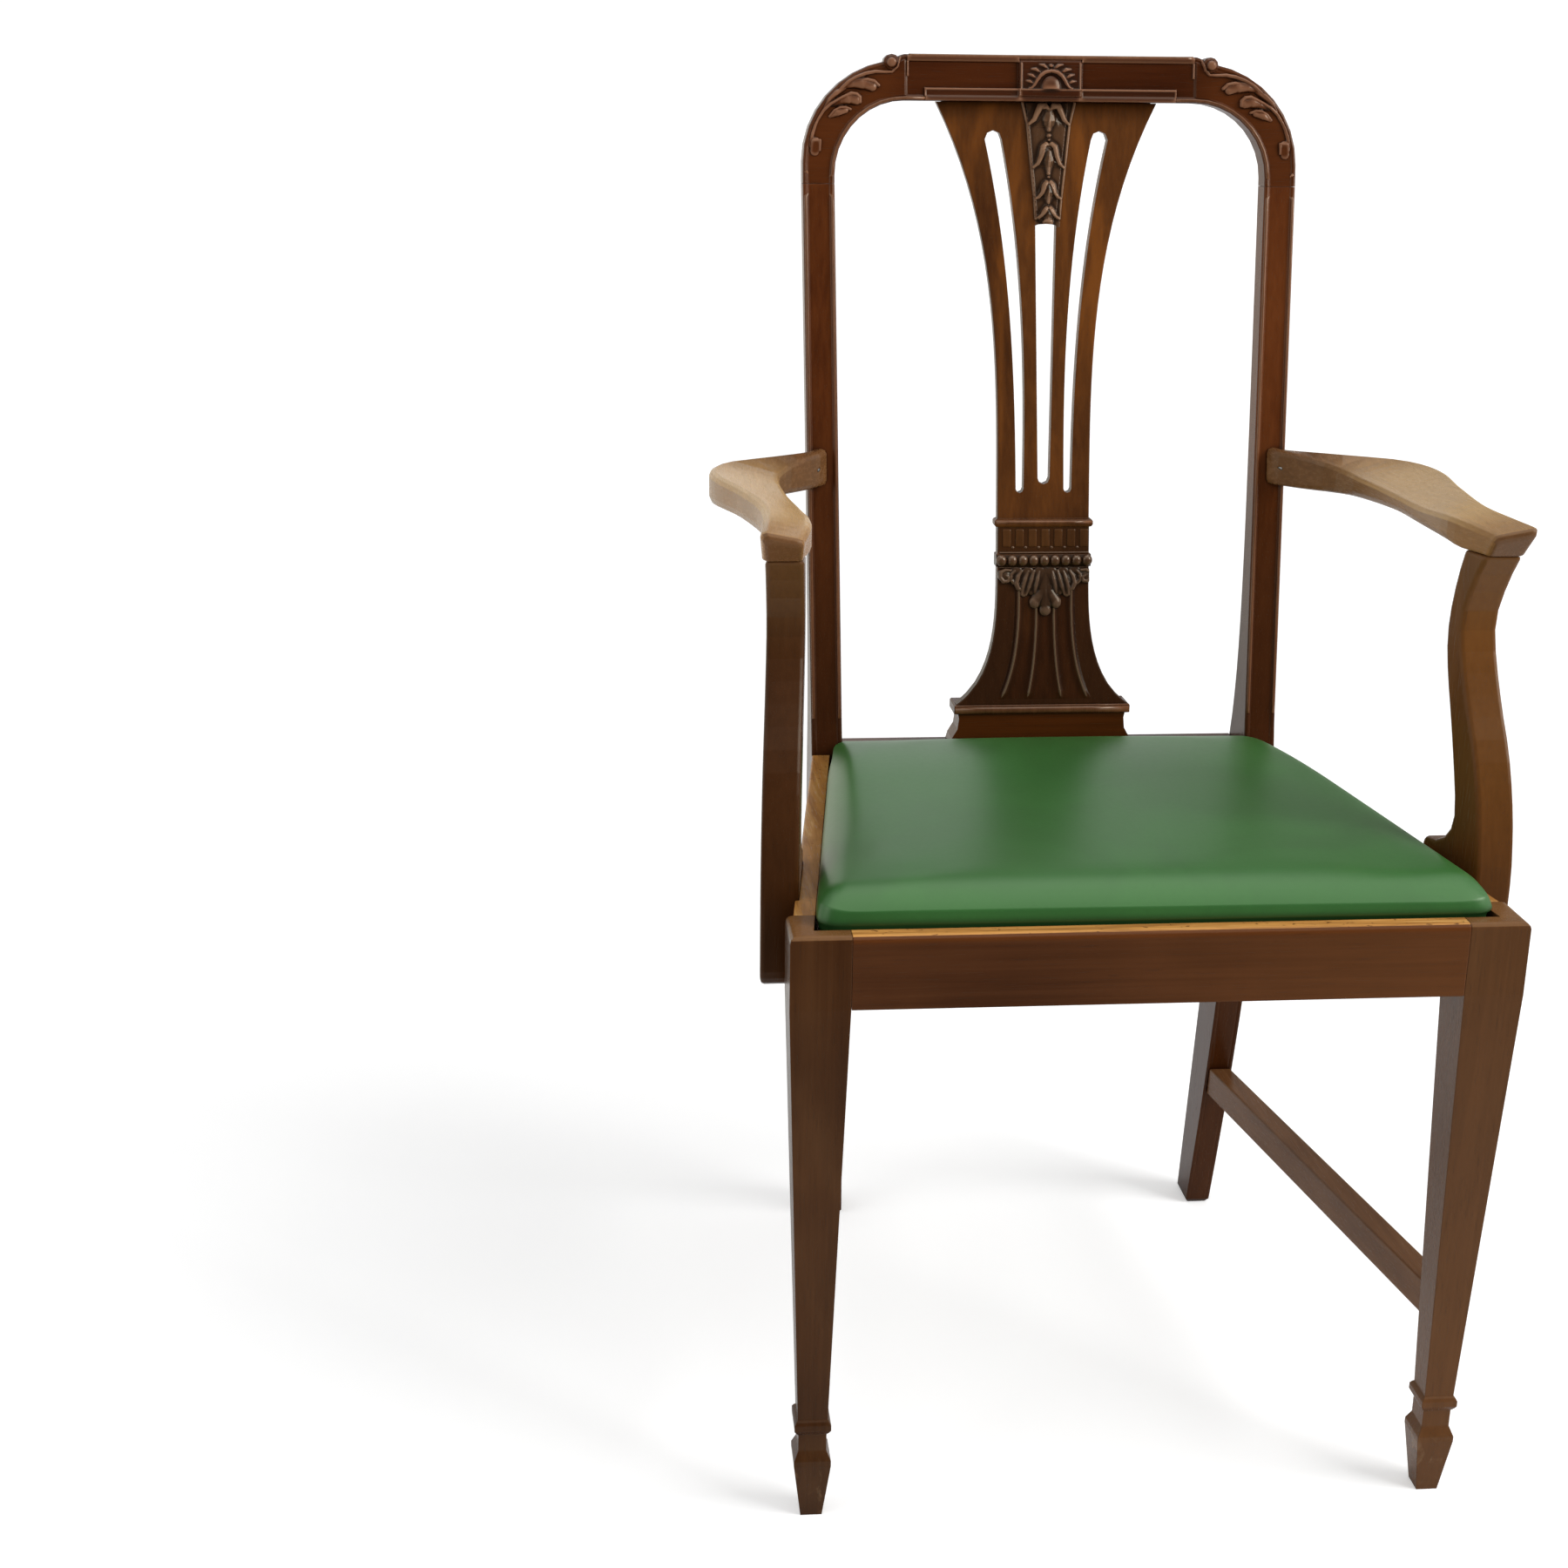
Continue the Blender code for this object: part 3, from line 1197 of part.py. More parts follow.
def front_block(label, side, rails):
    leg_inner = LEG_CENTRE - LEG_SIDE / 2.0 - FIT
    face = FRONT_RAIL_THICKNESS + FIT
    behind_leg = LEG_SIDE + FIT
    far = behind_leg + BLOCK_REACH_ALONG_SIDE
    near = leg_inner - BLOCK_REACH_ALONG_RAIL
    gap = FIT / SIDE_COSINE
    outline = [
        (near, face), (leg_inner, face), (leg_inner, behind_leg),
        (side_inner(behind_leg) - gap, behind_leg), (side_inner(far) - gap, far),
    ]
    block = corner_block("front_block_" + label, side, outline)
    z = LEDGE - BLOCK_BELOW_LEDGE - BLOCK_THICKNESS / 2.0
    block_screws("front_" + label, side, block, rails, outline, z, -1.0)


def rear_block(label, side, rails):
    post_inner = BACK_WIDTH / 2.0 - POST_WIDTH - FIT
    face = REAR_RAIL_FRONT - FIT
    before_post = POST_FRONT - FIT
    far = before_post - BLOCK_REACH_ALONG_SIDE
    near = post_inner - BLOCK_REACH_ALONG_RAIL
    gap = FIT / SIDE_COSINE
    outline = [
        (near, face), (post_inner, face), (post_inner, before_post),
        (side_inner(before_post) - gap, before_post), (side_inner(far) - gap, far),
    ]
    block = corner_block("rear_block_" + label, side, outline)
    z = LEDGE - BLOCK_BELOW_LEDGE - BLOCK_THICKNESS / 2.0
    block_screws("rear_" + label, side, block, rails, outline, z, 1.0)


def block_screws(label, side, block, rails, outline, z, towards):
    """One screw into the cross rail and one into the side rail, heads in the block's long face."""
    near = Vector(outline[0])
    far = Vector(outline[-1])
    cross_rail, side_piece = rails
    start = near.lerp(far, 0.36)
    direction = Vector((0.0, towards, 0.0))
    head = (side * start.x, start.y + towards * SCREW_SINK, z + 0.004)
    screw("block_screw_%s_1" % label, head, direction, BLOCK_SCREW_LENGTH, (block, cross_rail))
    start = near.lerp(far, 0.70)
    direction = Vector((side * 1.0, SIDE_TAPER, 0.0)).normalized()
    sunk = start + Vector((side * direction.x, direction.y)) * SCREW_SINK
    head = (side * sunk.x, sunk.y, z - 0.004)
    screw("block_screw_%s_2" % label, head, direction, BLOCK_SCREW_LENGTH, (block, side_piece))


# Lift-out seat

FRAME_LOW = LEDGE + FIT
FRAME_HIGH = FRAME_LOW + SEAT_FRAME_THICKNESS
WEB_LOW = FRAME_HIGH + FIT
CLOTH_LOW = WEB_LOW + 2.0 * WEB_THICKNESS + 2.0 * FIT


def seat_frame():
    """Four flat rails halved to one another at the corners, drawn as mitred boards."""
    gap = SEAT_CLEARANCE + COVER_THICKNESS + SEAT_DRAWN_IN + FIT
    front = FRONT_LIP + gap
    post_face = POST_FRONT - gap
    between_posts = BACK_WIDTH / 2.0 - POST_WIDTH - gap
    back = REAR_LIP_FRONT - gap
    inner_front = front + SEAT_FRAME_WIDTH
    inner_back = back - SEAT_FRAME_WIDTH
    seam = FIT / 2.0

    def outer_x(y):
        return side_inner(y, SIDE_LIP + gap)

    def inner_x(y):
        return outer_x(y) - SEAT_FRAME_WIDTH

    front_corner = SEAT_CORNER
    back_corner = SEAT_CORNER * SEAT_BACK_CORNER
    small = SEAT_NOTCH_CORNER
    boards = {
        "seat_frame_front": rounded([
            (-outer_x(front), front, front_corner), (outer_x(front), front, front_corner),
            (outer_x(inner_front), inner_front - seam, 0.0),
            (-outer_x(inner_front), inner_front - seam, 0.0),
        ]),
        "seat_frame_back": rounded([
            (-outer_x(inner_back), inner_back + seam, 0.0),
            (outer_x(inner_back), inner_back + seam, 0.0),
            (outer_x(post_face), post_face, small), (between_posts, post_face, 0.0),
            (between_posts, back, back_corner), (-between_posts, back, back_corner),
            (-between_posts, post_face, 0.0), (-outer_x(post_face), post_face, small),
        ]),
    }
    for label, side in SIDES:
        boards["seat_frame_" + label] = [
            (side * inner_x(inner_front), inner_front + seam),
            (side * outer_x(inner_front), inner_front + seam),
            (side * outer_x(inner_back), inner_back - seam),
            (side * inner_x(inner_back), inner_back - seam),
        ]
    for name, outline in boards.items():
        add(name, prism(outline, FRAME_LOW, FRAME_HIGH), BEECH, drop_seat)
    return front, back, outer_x


def webbing(front, back, outer_x):
    """Straps woven over and under each other, tacked on top of the seat frame."""
    reach_front = front + SEAT_FRAME_WIDTH - WEB_LAP
    reach_back = back - SEAT_FRAME_WIDTH + WEB_LAP
    first = front + SEAT_FRAME_WIDTH
    last = back - SEAT_FRAME_WIDTH
    rows = [first + (last - first) * (i + 0.5) / WEB_COUNT for i in range(WEB_COUNT)]
    narrow = outer_x(back) - SEAT_FRAME_WIDTH
    columns = [narrow * (2.0 * (i + 0.5) / WEB_COUNT - 1.0) for i in range(WEB_COUNT)]
    climb = 0.010
    lift = WEB_THICKNESS + FIT
    half = WEB_WIDTH / 2.0

    def height(place, crossings, over):
        level = 0.0
        for index, crossing in enumerate(crossings):
            if over(index):
                level = max(level, 1.0 - smoothstep((abs(place - crossing) - half - 0.001) / climb))
        return WEB_LOW + lift * level

    def stations(start, end, crossings):
        keys = [start, end]
        for crossing in crossings:
            for reach in (half + 0.001, half + 0.001 + climb / 2.0, half + 0.001 + climb):
                keys += [crossing - reach, crossing + reach]
        return sorted(key for key in keys if start <= key <= end)

    for i, x in enumerate(columns):
        rings = []
        for y in stations(reach_front, reach_back, rows):
            z = height(y, rows, lambda j: (i + j) % 2 == 0)
            rings.append([
                (x - half, y, z), (x + half, y, z),
                (x + half, y, z + WEB_THICKNESS), (x - half, y, z + WEB_THICKNESS),
            ])
        add("web_long_%d" % (i + 1), loft(rings), WEBBING, drop_seat)
    for j, y in enumerate(rows):
        rings = []
        end = outer_x(y) - SEAT_FRAME_WIDTH + WEB_LAP
        for x in stations(-end, end, columns):
            z = height(x, columns, lambda i: (i + j) % 2 == 1)
            rings.append([
                (x, y - half, z), (x, y + half, z),
                (x, y + half, z + WEB_THICKNESS), (x, y - half, z + WEB_THICKNESS),
            ])
        add("web_cross_%d" % (j + 1), loft(rings), WEBBING, drop_seat)


def seat_outline(inset, corner, notch=1.0):
    """Plan of the seat at one level, drawn in by an inset; the post notches fade out inwards."""
    gap = SEAT_CLEARANCE + inset
    front = FRONT_LIP + gap
    back = REAR_LIP_FRONT - gap
    post_face = POST_FRONT - gap
    lip = SIDE_LIP + gap
    side_x = side_inner(post_face, lip)
    step_x = side_x - (side_x - (BACK_WIDTH / 2.0 - POST_WIDTH - gap)) * notch
    small = SEAT_NOTCH_CORNER
    right = [
        (side_inner(front, lip), front, corner),
        (side_x, post_face, small),
        (step_x, post_face, 0.0),
        (step_x, back, corner * SEAT_BACK_CORNER),
    ]
    left = [(-x, y, radius) for x, y, radius in reversed(right)]
    return rounded(right + left, 3)


def crown_rings(shrink, low):
    """Rings of the cushion from its lower edge to the crown; shrink moves each skin inwards."""
    roll = SEAT_HEIGHT + SEAT_ROLL
    crown = SEAT_HEIGHT + SEAT_CROWN
    rings = []
    pulled = SEAT_DRAWN_IN
    sides = ((0.0, pulled), (0.58, 0.9 * pulled), (0.74, 0.0), (0.85, 0.0006), (0.94, 0.0024), (1.0, 0.0062))
    for share, inset in sides:
        z = low + (roll - shrink - low) * share
        rings.append([(x, y, z) for x, y in seat_outline(inset + shrink, SEAT_CORNER)])
    for inset in (0.012, 0.022, 0.038, 0.062, 0.095, 0.135):
        share = 1.0 - (1.0 - inset / 0.150) ** 2.2
        z = roll + (crown - roll) * share - shrink
        notch = max(0.02, 1.0 - inset / 0.030)
        rings.append([(x, y, z) for x, y in seat_outline(inset + shrink, SEAT_CORNER, notch)])
    return rings


def cover():
    """Leathercloth skin: over the crown and down the edges of the seat frame."""
    outer = crown_rings(0.0, FRAME_LOW)
    inner = crown_rings(COVER_THICKNESS, FRAME_LOW)
    bm = bmesh.new()
    outside = [[bm.verts.new(point) for point in ring] for ring in outer]
    inside = [[bm.verts.new(point) for point in ring] for ring in inner]
    count = len(outside[0])
    for rows in (outside, inside):
        for low, high in zip(rows, rows[1:]):
            for i in range(count):
                j = (i + 1) % count
                bm.faces.new((low[i], low[j], high[j], high[i]))
        bm.faces.new(rows[-1])
    for i in range(count):
        j = (i + 1) % count
        bm.faces.new((inside[0][i], inside[0][j], outside[0][j], outside[0][i]))
    return add("seat_cover", bm, LEATHERCLOTH, drop_seat, smooth=50.0)


def padding():
    """Felt between the base cloth and the cover, crowned like the cover."""
    low = CLOTH_LOW + CLOTH_THICKNESS + FIT
    shrink = COVER_THICKNESS + FIT
    rings = [ring for ring in crown_rings(shrink, FRAME_LOW) if ring[0][2] > low + 0.0004]
    first = [(x, y, low) for x, y, z in rings[0]]
    return add("seat_padding", loft([first] + rings), PADDING, drop_seat, smooth=50.0)


def base_cloth():
    inset = COVER_THICKNESS + SEAT_DRAWN_IN + 2.0 * FIT
    outline = seat_outline(inset, SEAT_CORNER)
    return add("base_cloth", prism(outline, CLOTH_LOW, CLOTH_LOW + CLOTH_THICKNESS), HESSIAN, drop_seat)


# Assembly

legs = {label: front_leg("front_leg_" + label, side) for label, side in SIDES}
posts = {label: back_post("back_post_" + label, side) for label, side in SIDES}
sides = {label: side_rail("side_rail_" + label, side) for label, side in SIDES}
front = front_rail()
rear = rear_rail()
join_rails(front, rear, sides, legs, posts)
for index, piece in enumerate([front, rear] + list(sides.values()) + list(legs.values())):
    boolean(piece, seat_well("seat_well_%d" % index), "DIFFERENCE")

crest = crest_rail()
for label, side in SIDES:
    join_crest(crest, posts[label], side)

board = splat()
block = shoe()
top_span = (SPLAT_TOP - TONGUE_INSET, ARCH_TOP - TONGUE_ROOT, ARCH_TOP + TONGUE_LENGTH)
low_span = (SPLAT_BASE - TONGUE_INSET, SHOE_TOP - TONGUE_LENGTH, SHOE_TOP + TONGUE_ROOT)
for name, span, holder in (("top", top_span, crest), ("low", low_span, block)):
    boolean(board, hide(add(name + "_tongue", tongue(*span, 0.0), BEECH)), "UNION")
    boolean(holder, hide(add(name + "_groove", tongue(*span, FIT), BEECH)), "DIFFERENCE")

for label, side in SIDES:
    side_stretcher("side_stretcher_" + label, side, legs[label], posts[label])
    support = arm_support("arm_support_" + label, side, sides[label])
    arm_piece = arm("arm_" + label, side)
    join_arm(label, side, arm_piece, support, sides[label], posts[label])
    front_block(label, side, (front, sides[label]))
    rear_block(label, side, (rear, sides[label]))

frame_front, frame_back, frame_outer = seat_frame()
webbing(frame_front, frame_back, frame_outer)
base_cloth()
padding()
cover()
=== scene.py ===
# %% [markdown]
# # Dressing an open-arm chair
#
# The chair's solids are already made: posts, rails, arms, a pierced splat and a seat that lifts
# out. This lesson gives them their looks. It sets up the camera and the light, mixes the wood,
# leathercloth, beech and webbing, then adds what a carver and an upholsterer add: leaves on the
# shoulders of the back, a drop of bell flowers, a beaded capital and a stuffed green seat.

# %% Load the solids
import math

import bmesh
import bpy
import numpy as np
from mathutils import Matrix, Vector
from mathutils.bvhtree import BVHTree


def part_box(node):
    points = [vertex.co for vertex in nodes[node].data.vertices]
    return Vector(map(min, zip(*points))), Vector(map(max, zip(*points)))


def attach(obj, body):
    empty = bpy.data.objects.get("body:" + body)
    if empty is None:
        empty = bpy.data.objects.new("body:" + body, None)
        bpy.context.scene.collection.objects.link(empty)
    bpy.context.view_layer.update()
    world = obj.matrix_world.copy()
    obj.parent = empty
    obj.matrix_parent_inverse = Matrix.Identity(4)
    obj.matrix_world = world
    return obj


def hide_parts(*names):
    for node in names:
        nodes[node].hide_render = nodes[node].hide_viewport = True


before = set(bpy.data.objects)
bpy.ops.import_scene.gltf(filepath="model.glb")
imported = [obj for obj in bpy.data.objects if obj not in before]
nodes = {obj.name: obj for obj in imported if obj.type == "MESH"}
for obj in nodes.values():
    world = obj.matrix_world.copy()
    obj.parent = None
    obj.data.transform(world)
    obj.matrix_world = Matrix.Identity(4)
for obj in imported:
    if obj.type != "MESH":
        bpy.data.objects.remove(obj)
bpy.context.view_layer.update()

# %% [markdown]
# The camera stands a little left of the middle and above the seat, and looks down on the chair.
# Its place and turn were worked out from straight edges of the real chair whose sizes are known.
# A camera looks along its own -Z with +Y up, so three directions make its matrix.

# %% Camera
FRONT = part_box("front_leg_left")[0].y       # the front faces of the front legs
CAMERA_FROM_FRONT = (-0.3565, -1.2675, 0.9668)
YAW, PITCH, LEAN = (math.radians(angle) for angle in (-4.58, -17.69, 0.53))
FOCAL_LENGTH, FILM_WIDTH = 48.05, 36.0      # millimetres


def make_camera():
    turn = Matrix.Rotation(YAW, 3, "Z")
    forward = turn @ Vector((0.0, math.cos(PITCH), math.sin(PITCH)))
    right = turn @ Vector((1.0, 0.0, 0.0))
    up = right.cross(forward)
    leaning_right = math.cos(LEAN) * right + math.sin(LEAN) * up
    leaning_up = math.cos(LEAN) * up - math.sin(LEAN) * right
    data = bpy.data.cameras.new("camera")
    data.sensor_width = FILM_WIDTH
    data.lens = FOCAL_LENGTH
    data.clip_start = 0.05
    camera = bpy.data.objects.new("camera", data)
    place = Matrix((leaning_right, leaning_up, -forward)).transposed().to_4x4()
    x, y, z = CAMERA_FROM_FRONT
    place.translation = Vector((x, FRONT + y, z))
    camera.matrix_world = place
    bpy.context.scene.collection.objects.link(camera)
    bpy.context.scene.camera = camera


make_camera()
bpy.context.scene.view_settings.view_transform = "Standard"

# %% [markdown]
# Shader maths reads better as a sum than as a heap of nodes. A small class holds one socket, and
# its operators add the Math nodes. Everything else comes from one method that takes a node's
# type, its settings and what goes into it.

# %% A small language for finishes
class Wire:
    """One value in a finish; sums of wires add Math nodes."""

    def __init__(self, finish, socket):
        self.finish = finish
        self.socket = socket

    def maths(self, operation, *values):
        settings = {"operation": operation}
        return self.finish.node("ShaderNodeMath", settings, dict(enumerate(values)))

    def __add__(self, other):
        return self.maths("ADD", self, other)

    def __sub__(self, other):
        return self.maths("SUBTRACT", self, other)

    def __rsub__(self, other):
        return self.maths("SUBTRACT", other, self)

    def __mul__(self, other):
        return self.maths("MULTIPLY", self, other)

    __radd__ = __add__
    __rmul__ = __mul__

    def size(self):
        return self.maths("ABSOLUTE", self)

    def wave(self):
        return self.maths("SINE", self)

    def larger(self, other):
        return self.maths("MAXIMUM", self, other)

    def ramp(self, start, end, low=0.0, high=1.0):
        """A smooth step from low to high as the value goes from start to end."""
        inputs = {"Value": self, "From Min": start, "From Max": end, "To Min": low, "To Max": high}
        return self.finish.node("ShaderNodeMapRange", {"interpolation_type": "SMOOTHSTEP"}, inputs)


class Finish:
    """A material, or the world, under construction."""

    def __init__(self, name, kind="materials"):
        self.block = getattr(bpy.data, kind).new(name)
        self.block.use_nodes = True
        self.tree = self.block.node_tree
        self.tree.nodes.clear()
        self.place = self.node("ShaderNodeTexCoord", {}, {}, "Object")

    def node(self, kind, settings, inputs, output=0):
        made = self.tree.nodes.new(kind)
        for key, value in settings.items():
            setattr(made, key, value)
        for key, value in inputs.items():
            if isinstance(value, Wire):
                self.tree.links.new(value.socket, made.inputs[key])
            else:
                made.inputs[key].default_value = value
        return Wire(self, made.outputs[output])

    def axes(self, vector):
        """The three numbers of a vector."""
        split = self.tree.nodes.new("ShaderNodeSeparateXYZ")
        self.tree.links.new(vector.socket, split.inputs[0])
        return [Wire(self, split.outputs[i]) for i in range(3)]

    def xyz(self):
        return self.axes(self.place)

    def facing(self):
        """How far the surface faces +X, +Y and +Z."""
        return self.axes(self.node("ShaderNodeNewGeometry", {}, {}, "True Normal"))

    def stretched(self, scale, detail=3.0, twist=0.0, rough=0.55):
        """Noise with its own scale along each axis, in repeats per metre."""
        spread = self.node("ShaderNodeMapping", {}, {"Vector": self.place, "Scale": scale})
        inputs = {"Vector": spread, "Scale": 1.0, "Detail": detail, "Roughness": rough}
        inputs["Distortion"] = twist
        return self.node("ShaderNodeTexNoise", {}, inputs)

    def mix(self, amount, first, second):
        """The first colour, with some amount of the second over it."""
        made = self.tree.nodes.new("ShaderNodeMix")
        made.data_type = "RGBA"
        made.clamp_factor = True
        for index, value in ((0, amount), (6, first), (7, second)):
            if isinstance(value, Wire):
                self.tree.links.new(value.socket, made.inputs[index])
            elif index:
                made.inputs[index].default_value = (*value, 1.0)
            else:
                made.inputs[index].default_value = value
        return Wire(self, made.outputs[2])

    def bump(self, height, strength, distance, normal=None):
        inputs = {"Height": height, "Strength": strength, "Distance": distance}
        if normal is not None:
            inputs["Normal"] = normal
        return self.node("ShaderNodeBump", {}, inputs)

    def surface(self, colour, roughness, normal=None, **plain):
        inputs = {"Base Color": colour, "Roughness": roughness}
        if normal is not None:
            inputs["Normal"] = normal
        for key, value in plain.items():
            inputs[key.replace("_", " ")] = value
        return self.leave(self.node("ShaderNodeBsdfPrincipled", {}, inputs, "BSDF"))

    def leave(self, shader, kind="ShaderNodeOutputMaterial"):
        out = self.tree.nodes.new(kind)
        self.tree.links.new(shader.socket, out.inputs["Surface"])
        return self.block

# %% [markdown]
# The chair stands in a white studio. A big sheet of pale paper lies on the floor and curves up
# behind it. A broad lamp hangs to the upper right and a weaker one to the left, so each left side
# is in soft shade. The paper shows white to the camera and still takes the chair's shadow. The room
# on the near side is dim in reflections: the sky is dimmer there, and the paper is painted dark
# for mirrors only. Polished wood mirrors it, and so looks deep and dark from the front, while the
# seat mirrors the paper behind the chair, with painted light on the left and painted shade on the
# right. A ceiling window shows in the round front edge of the seat.

# %% Paper, sky and lamps
PAPER_HALF_WIDTH = 6.0
PAPER_BEND = 2.4
PAPER_GLOW = 0.36
DIM_ROOM = 0.12             # brightness of the near side of the room in reflections
SKY_LIGHT = 0.55
OVERHEAD = 2.0              # what a ceiling window adds, in reflections only
PAPER_WHITE = 0.86
RIGHT_DUSK = (0.34, 0.33, 0.30)     # what polished faces mirror of the far right of the paper
LEFT_GLOW = (1.30, 1.26, 1.12)      # and of its left, which lies under a window
PAPER_RISE = 1.5            # radius of the bend


def paper_finish():
    paper = Finish("studio paper")
    rays = "ShaderNodeLightPath"
    camera_ray = paper.node(rays, {}, {}, "Is Camera Ray")
    glossy_ray = paper.node(rays, {}, {}, "Is Glossy Ray")
    x, y, z = paper.xyz()
    # painted reflection: in mirrors the paper is painted dark on the near side, dusky on the right and
    # brighter than white on the left
    near_side = glossy_ray * y.ramp(FRONT - 0.35, FRONT - 1.10)
    tone = paper.mix(near_side, (PAPER_WHITE,) * 3, (PAPER_WHITE * DIM_ROOM,) * 3)
    tone = paper.mix(glossy_ray * x.ramp(0.70, 1.70), tone, RIGHT_DUSK)
    tone = paper.mix(glossy_ray * x.ramp(0.0, -1.2) * y.ramp(FRONT, 1.0), tone, LEFT_GLOW)
    diffuse = paper.node("ShaderNodeBsdfDiffuse", {}, {"Color": tone})
    glow = paper.node("ShaderNodeEmission", {}, {"Strength": camera_ray * PAPER_GLOW})
    return paper.leave(paper.node("ShaderNodeAddShader", {}, {0: diffuse, 1: glow}))


def make_paper():
    profile = [(-6.0, 0.0), (PAPER_BEND, 0.0)]
    for step in range(1, 13):
        angle = math.radians(7.5 * step)
        profile.append((PAPER_BEND + PAPER_RISE * math.sin(angle), PAPER_RISE * (1.0 - math.cos(angle))))
    profile.append((PAPER_BEND + PAPER_RISE, 5.0))
    bm = bmesh.new()
    rows = [[bm.verts.new((x, y, z)) for x in (-PAPER_HALF_WIDTH, PAPER_HALF_WIDTH)] for y, z in profile]
    for low, high in zip(rows, rows[1:]):
        bm.faces.new((low[0], low[1], high[1], high[0]))
    mesh = bpy.data.meshes.new("paper")
    bm.to_mesh(mesh)
    bm.free()
    mesh.shade_smooth()
    mesh.materials.append(paper_finish())
    paper = bpy.data.objects.new("paper", mesh)
    bpy.context.scene.collection.objects.link(paper)


def lamp(name, place, target, size, power):
    data = bpy.data.lights.new(name, "AREA")
    data.shape = "RECTANGLE"
    data.size = size[0]
    data.size_y = size[1]
    data.energy = power
    light = bpy.data.objects.new(name, data)
    light.location = place
    light.rotation_euler = (Vector(target) - Vector(place)).to_track_quat("-Z", "Y").to_euler()
    bpy.context.scene.collection.objects.link(light)


def make_sky():
    sky = Finish("studio", "worlds")
    rays = "ShaderNodeLightPath"
    camera_ray = sky.node(rays, {}, {}, "Is Camera Ray")
    glossy_ray = sky.node(rays, {}, {}, "Is Glossy Ray")
    x, y, z = sky.axes(sky.node("ShaderNodeTexCoord", {}, {}, "Generated"))
    white = y.ramp(-0.62, -0.10).larger(z.ramp(0.40, 0.75))
    overhead = z.ramp(0.76, 0.96) * OVERHEAD
    mirrored = glossy_ray * (white * (1.0 - DIM_ROOM) + DIM_ROOM - SKY_LIGHT + overhead)
    strength = camera_ray * (1.0 - SKY_LIGHT) + mirrored + SKY_LIGHT
    background = sky.node("ShaderNodeBackground", {}, {"Color": (1.0, 1.0, 1.0, 1.0), "Strength": strength})
    bpy.context.scene.world = sky.leave(background, "ShaderNodeOutputWorld")


make_paper()
make_sky()
lamp("key lamp", (3.3, -1.7, 2.7), (0.0, 0.0, 0.5), (2.4, 2.4), 150.0)
lamp("fill lamp", (-3.1, -1.2, 1.9), (0.0, 0.0, 0.5), (2.2, 2.2), 22.0)

# %% [markdown]
# Mahogany has three scales of figure: broad ribbons, long fibres and short dark pores. Each is
# noise that is drawn out along the grain, and under old varnish all of them are faint. On top
# come pale arrises, partly rubbed and partly a painted highlight, and dark wax in the corners
# together with painted shade. The Bevel node rounds sharp edges for the light, and its difference
# from the true normal tells where an edge is; the Ambient Occlusion node finds the corners. A
# carved skin also carries an attribute, "relief", which is high on the crest of each cut and low
# in its hollows: hands rub the first and wax fills the second, and the colour there also holds a
# painted highlight on the crests and painted shade in the hollows.

# %% Wood
GRAIN = {
    "x": lambda along, across: (along, across, across),
    "y": lambda along, across: (across, along, across),
    "z": lambda along, across: (across, across, along),
}
WARM = (1.0, 0.88, 0.70, 1.0)      # old varnish warms what it mirrors


def shade(tone, share):
    return tuple(min(1.0, share * part) for part in tone)


def rounded_edge(finish, radius):
    """(rounded normal, how much of an edge) at a point."""
    rounded = finish.node("ShaderNodeBevel", {"samples": 4}, {"Radius": radius})
    true = finish.node("ShaderNodeNewGeometry", {}, {}, "True Normal")
    along = finish.node("ShaderNodeVectorMath", {"operation": "DOT_PRODUCT"}, {0: rounded, 1: true}, "Value")
    return rounded, along.ramp(0.985, 0.80)


